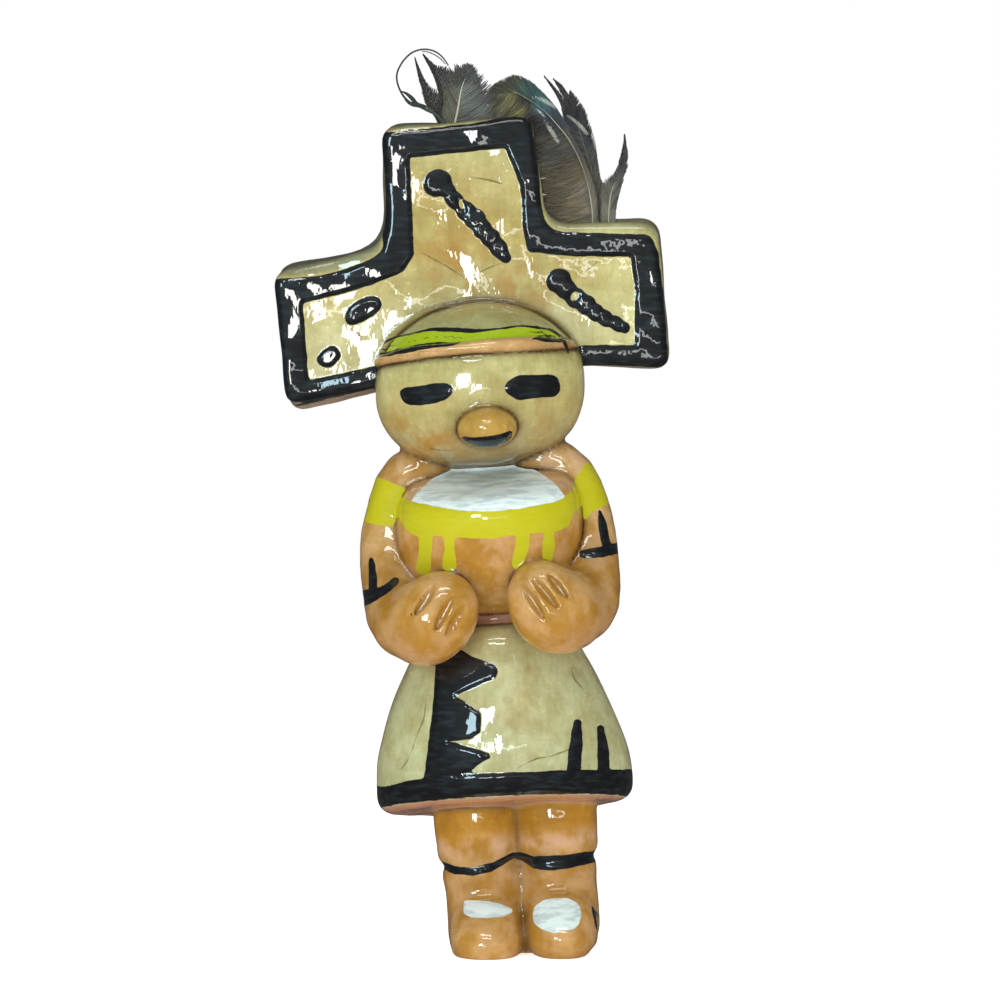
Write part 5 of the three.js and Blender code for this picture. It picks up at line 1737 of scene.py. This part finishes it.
    def short(self) -> Feather:
        """The short grey-brown feather that curves up at the right."""
        y = self.step - 1.2
        shaft = Quill(((26.1, 129), (26.2, 130.8), (26.6, 134), (27.2, 136.6), (28.2, 138.7),
                       (29.4, 140.8), (30, 143.4), (30.2, 144.9), (30.3, 146.5)), (y, y - 0.3),
                      (0.2, 0.18, 0.12, 0.08, 0.04))
        left = ((24.7, 130), (25.1, 135.2), (25.6, 138.2), (26.5, 138.9), (27.8, 139.7),
                (28.6, 141.1), (29.3, 143), (29.8, 144.5), (30.3, 146.7))
        right = ((27.6, 130), (28, 133.9), (28.9, 136.7), (29.8, 139), (30.5, 140.9),
                 (30.7, 143.3), (30.6, 144.9), (30.4, 146.7))
        tints = ((25.8, 133, "#7D7766"), (26.7, 136.2, "#6F6A5C"), (27.9, 135, "#5E5A4F"),
                 (29.1, 139.3, "#54514A"), (30.2, 141.4, "#3E3B38"), (30.2, 145.5, "#46433F"))
        vanes = (Vane(shaft, left, 200, 0.22, 0.3, 0.08, 0.06, 0.01, 0.4, 51),
                 Vane(shaft, right, 170, 0.22, 0.28, 0.06, 0.06, 0.01, 0.3, 52))
        return Feather("feather_short_right", Slot.DOWNY, (shaft, *vanes), tints,
                       Plumage("short_grey_feather"))


# ---- Studio ----


@dataclass(frozen=True)
class Lamp:
    """A rectangular lamp. A soft one lights the figure and isn't mirrored in the glaze."""

    name: str
    place: tuple[float, float, float]
    size: tuple[float, float]
    power: float
    colour: str = "#FFFFFF"
    mirrored: bool = False
    aim: tuple[float, float, float] = (0.0, 0.0, 85.0)

    def build(self) -> None:
        """Makes the lamp and turns it from its place to its aim."""
        data = bpy.data.lights.new(self.name, "AREA")
        data.shape = "RECTANGLE"
        data.size, data.size_y = (side * MM for side in self.size)
        data.energy = self.power
        data.color = linear(self.colour)[:3]
        lamp = bpy.data.objects.new(self.name, data)
        bpy.context.scene.collection.objects.link(lamp)
        lamp.location = np.array(self.place) * MM
        way = Vector((np.array(self.aim) - np.array(self.place)).tolist())
        lamp.rotation_euler = way.to_track_quat("-Z", "Y").to_euler()
        lamp.visible_glossy = self.mirrored
        lamp.visible_camera = False


class Studio:
    """The floor, the world, the lamps and the camera."""

    LAMPS = (
        Lamp("softbox_front", (80, -560, 330), (480, 420), 0.36),
        Lamp("softbox_left", (-480, -300, 200), (260, 300), 0.36, "#FFFAF2"),
        Lamp("softbox_right", (480, -300, 180), (260, 300), 0.32),
        Lamp("softbox_back", (40, 420, 420), (300, 200), 0.7),
        Lamp("window", (-190, -570, 160), (140, 134), 0.98, "#CFF0FF", True),
        Lamp("skylight", (-20, -330, 520), (260, 50), 0.45, "#FFFFFF", True),
        Lamp("high_strip", (-10, -480, 470), (260, 40), 0.5, "#F4FAFF", True),
        Lamp("sill", (24, -615, 50), (190, 12), 0.05, "#FFFFFF", True),
        Lamp("bright_spot", (-72, -600, 66), (54, 62), 0.25, "#FFFDF6", True, (-31, 0, 110)),
    )
    SENSOR = 36.0
    SHIFT = (-0.02, 0.039)  # of the picture, in widths, so that the whole figure is in it
    FLOOR_HALF = 3000.0
    FLOOR_DROP = 0.02  # keeps the card just clear of the soles
    # The world's strength in the glaze, and what the camera and soft light add to it.
    MIRRORED_WORLD = 0.06
    MORE_WORLD = (("Is Camera Ray", 0.94), ("Is Diffuse Ray", 0.27))

    def build(self) -> None:
        """Makes everything round the figure."""
        self._world()
        self._floor()
        for lamp in self.LAMPS:
            lamp.build()
        self._camera()

    def _world(self) -> None:
        """A white room: full white to the eye, softer as light, and dim as the glaze mirrors it."""
        world = bpy.data.worlds.new("pale_room")
        world.use_nodes = True
        nodes, links = world.node_tree.nodes, world.node_tree.links
        shade = nodes["Background"]
        shade.inputs["Color"].default_value = linear("#FFFFFF")
        path = nodes.new("ShaderNodeLightPath")
        level: bpy.types.NodeSocket | float = self.MIRRORED_WORLD
        for kind, more in self.MORE_WORLD:
            step = nodes.new("ShaderNodeMath")
            step.operation = "MULTIPLY_ADD"
            links.new(path.outputs[kind], step.inputs[0])
            step.inputs[1].default_value = more
            if isinstance(level, float):
                step.inputs[2].default_value = level
            else:
                links.new(level, step.inputs[2])
            level = step.outputs[0]
        links.new(level, shade.inputs["Strength"])
        bpy.context.scene.world = world

    def _floor(self) -> None:
        """A flat pale card under the figure, far wider than the view."""
        half = self.FLOOR_HALF
        corners = np.array([[-half, -half, 0], [half, -half, 0], [half, half, 0], [-half, half, 0]])
        floor = piece_of("studio_floor", corners - [0, 0, self.FLOOR_DROP], np.array([[0, 1, 2, 3]]))
        floor.data.materials.append(PaleCard().material())
        floor.visible_glossy = False

    def _camera(self) -> None:
        """A level camera straight in front, at the height that the marks are laid out from."""
        data = bpy.data.cameras.new("front_camera")
        data.sensor_width = self.SENSOR
        data.lens = self.SENSOR * VIEW_DISTANCE / VIEW_WIDTH * VIEW_SCALE
        data.shift_x, data.shift_y = self.SHIFT
        data.clip_start = 0.01
        camera = bpy.data.objects.new("front_camera", data)
        bpy.context.scene.collection.objects.link(camera)
        camera.location = (0, -VIEW_DISTANCE * MM, VIEW_HEIGHT * MM)
        camera.rotation_euler = (np.pi / 2, 0, 0)
        bpy.context.scene.camera = camera
        bpy.context.scene.view_settings.view_transform = "Standard"


def main() -> None:
    """Builds the studio, the clay figure and its feathers."""
    logging.basicConfig(level=logging.INFO, format="%(message)s")
    Studio().build()
    body = ClayBody()
    clay = body.build()
    body.dress(clay)
    log.info("%s: %d points, %d quads", clay.name, len(clay.data.vertices), len(clay.data.polygons))
    for feather in Headdress(body.slab).feathers():
        obj = feather.build()
        feather.dress(obj)
        log.info("%s: %d triangles", obj.name, len(obj.data.polygons))
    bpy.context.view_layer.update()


if __name__ == "__main__":
    main()
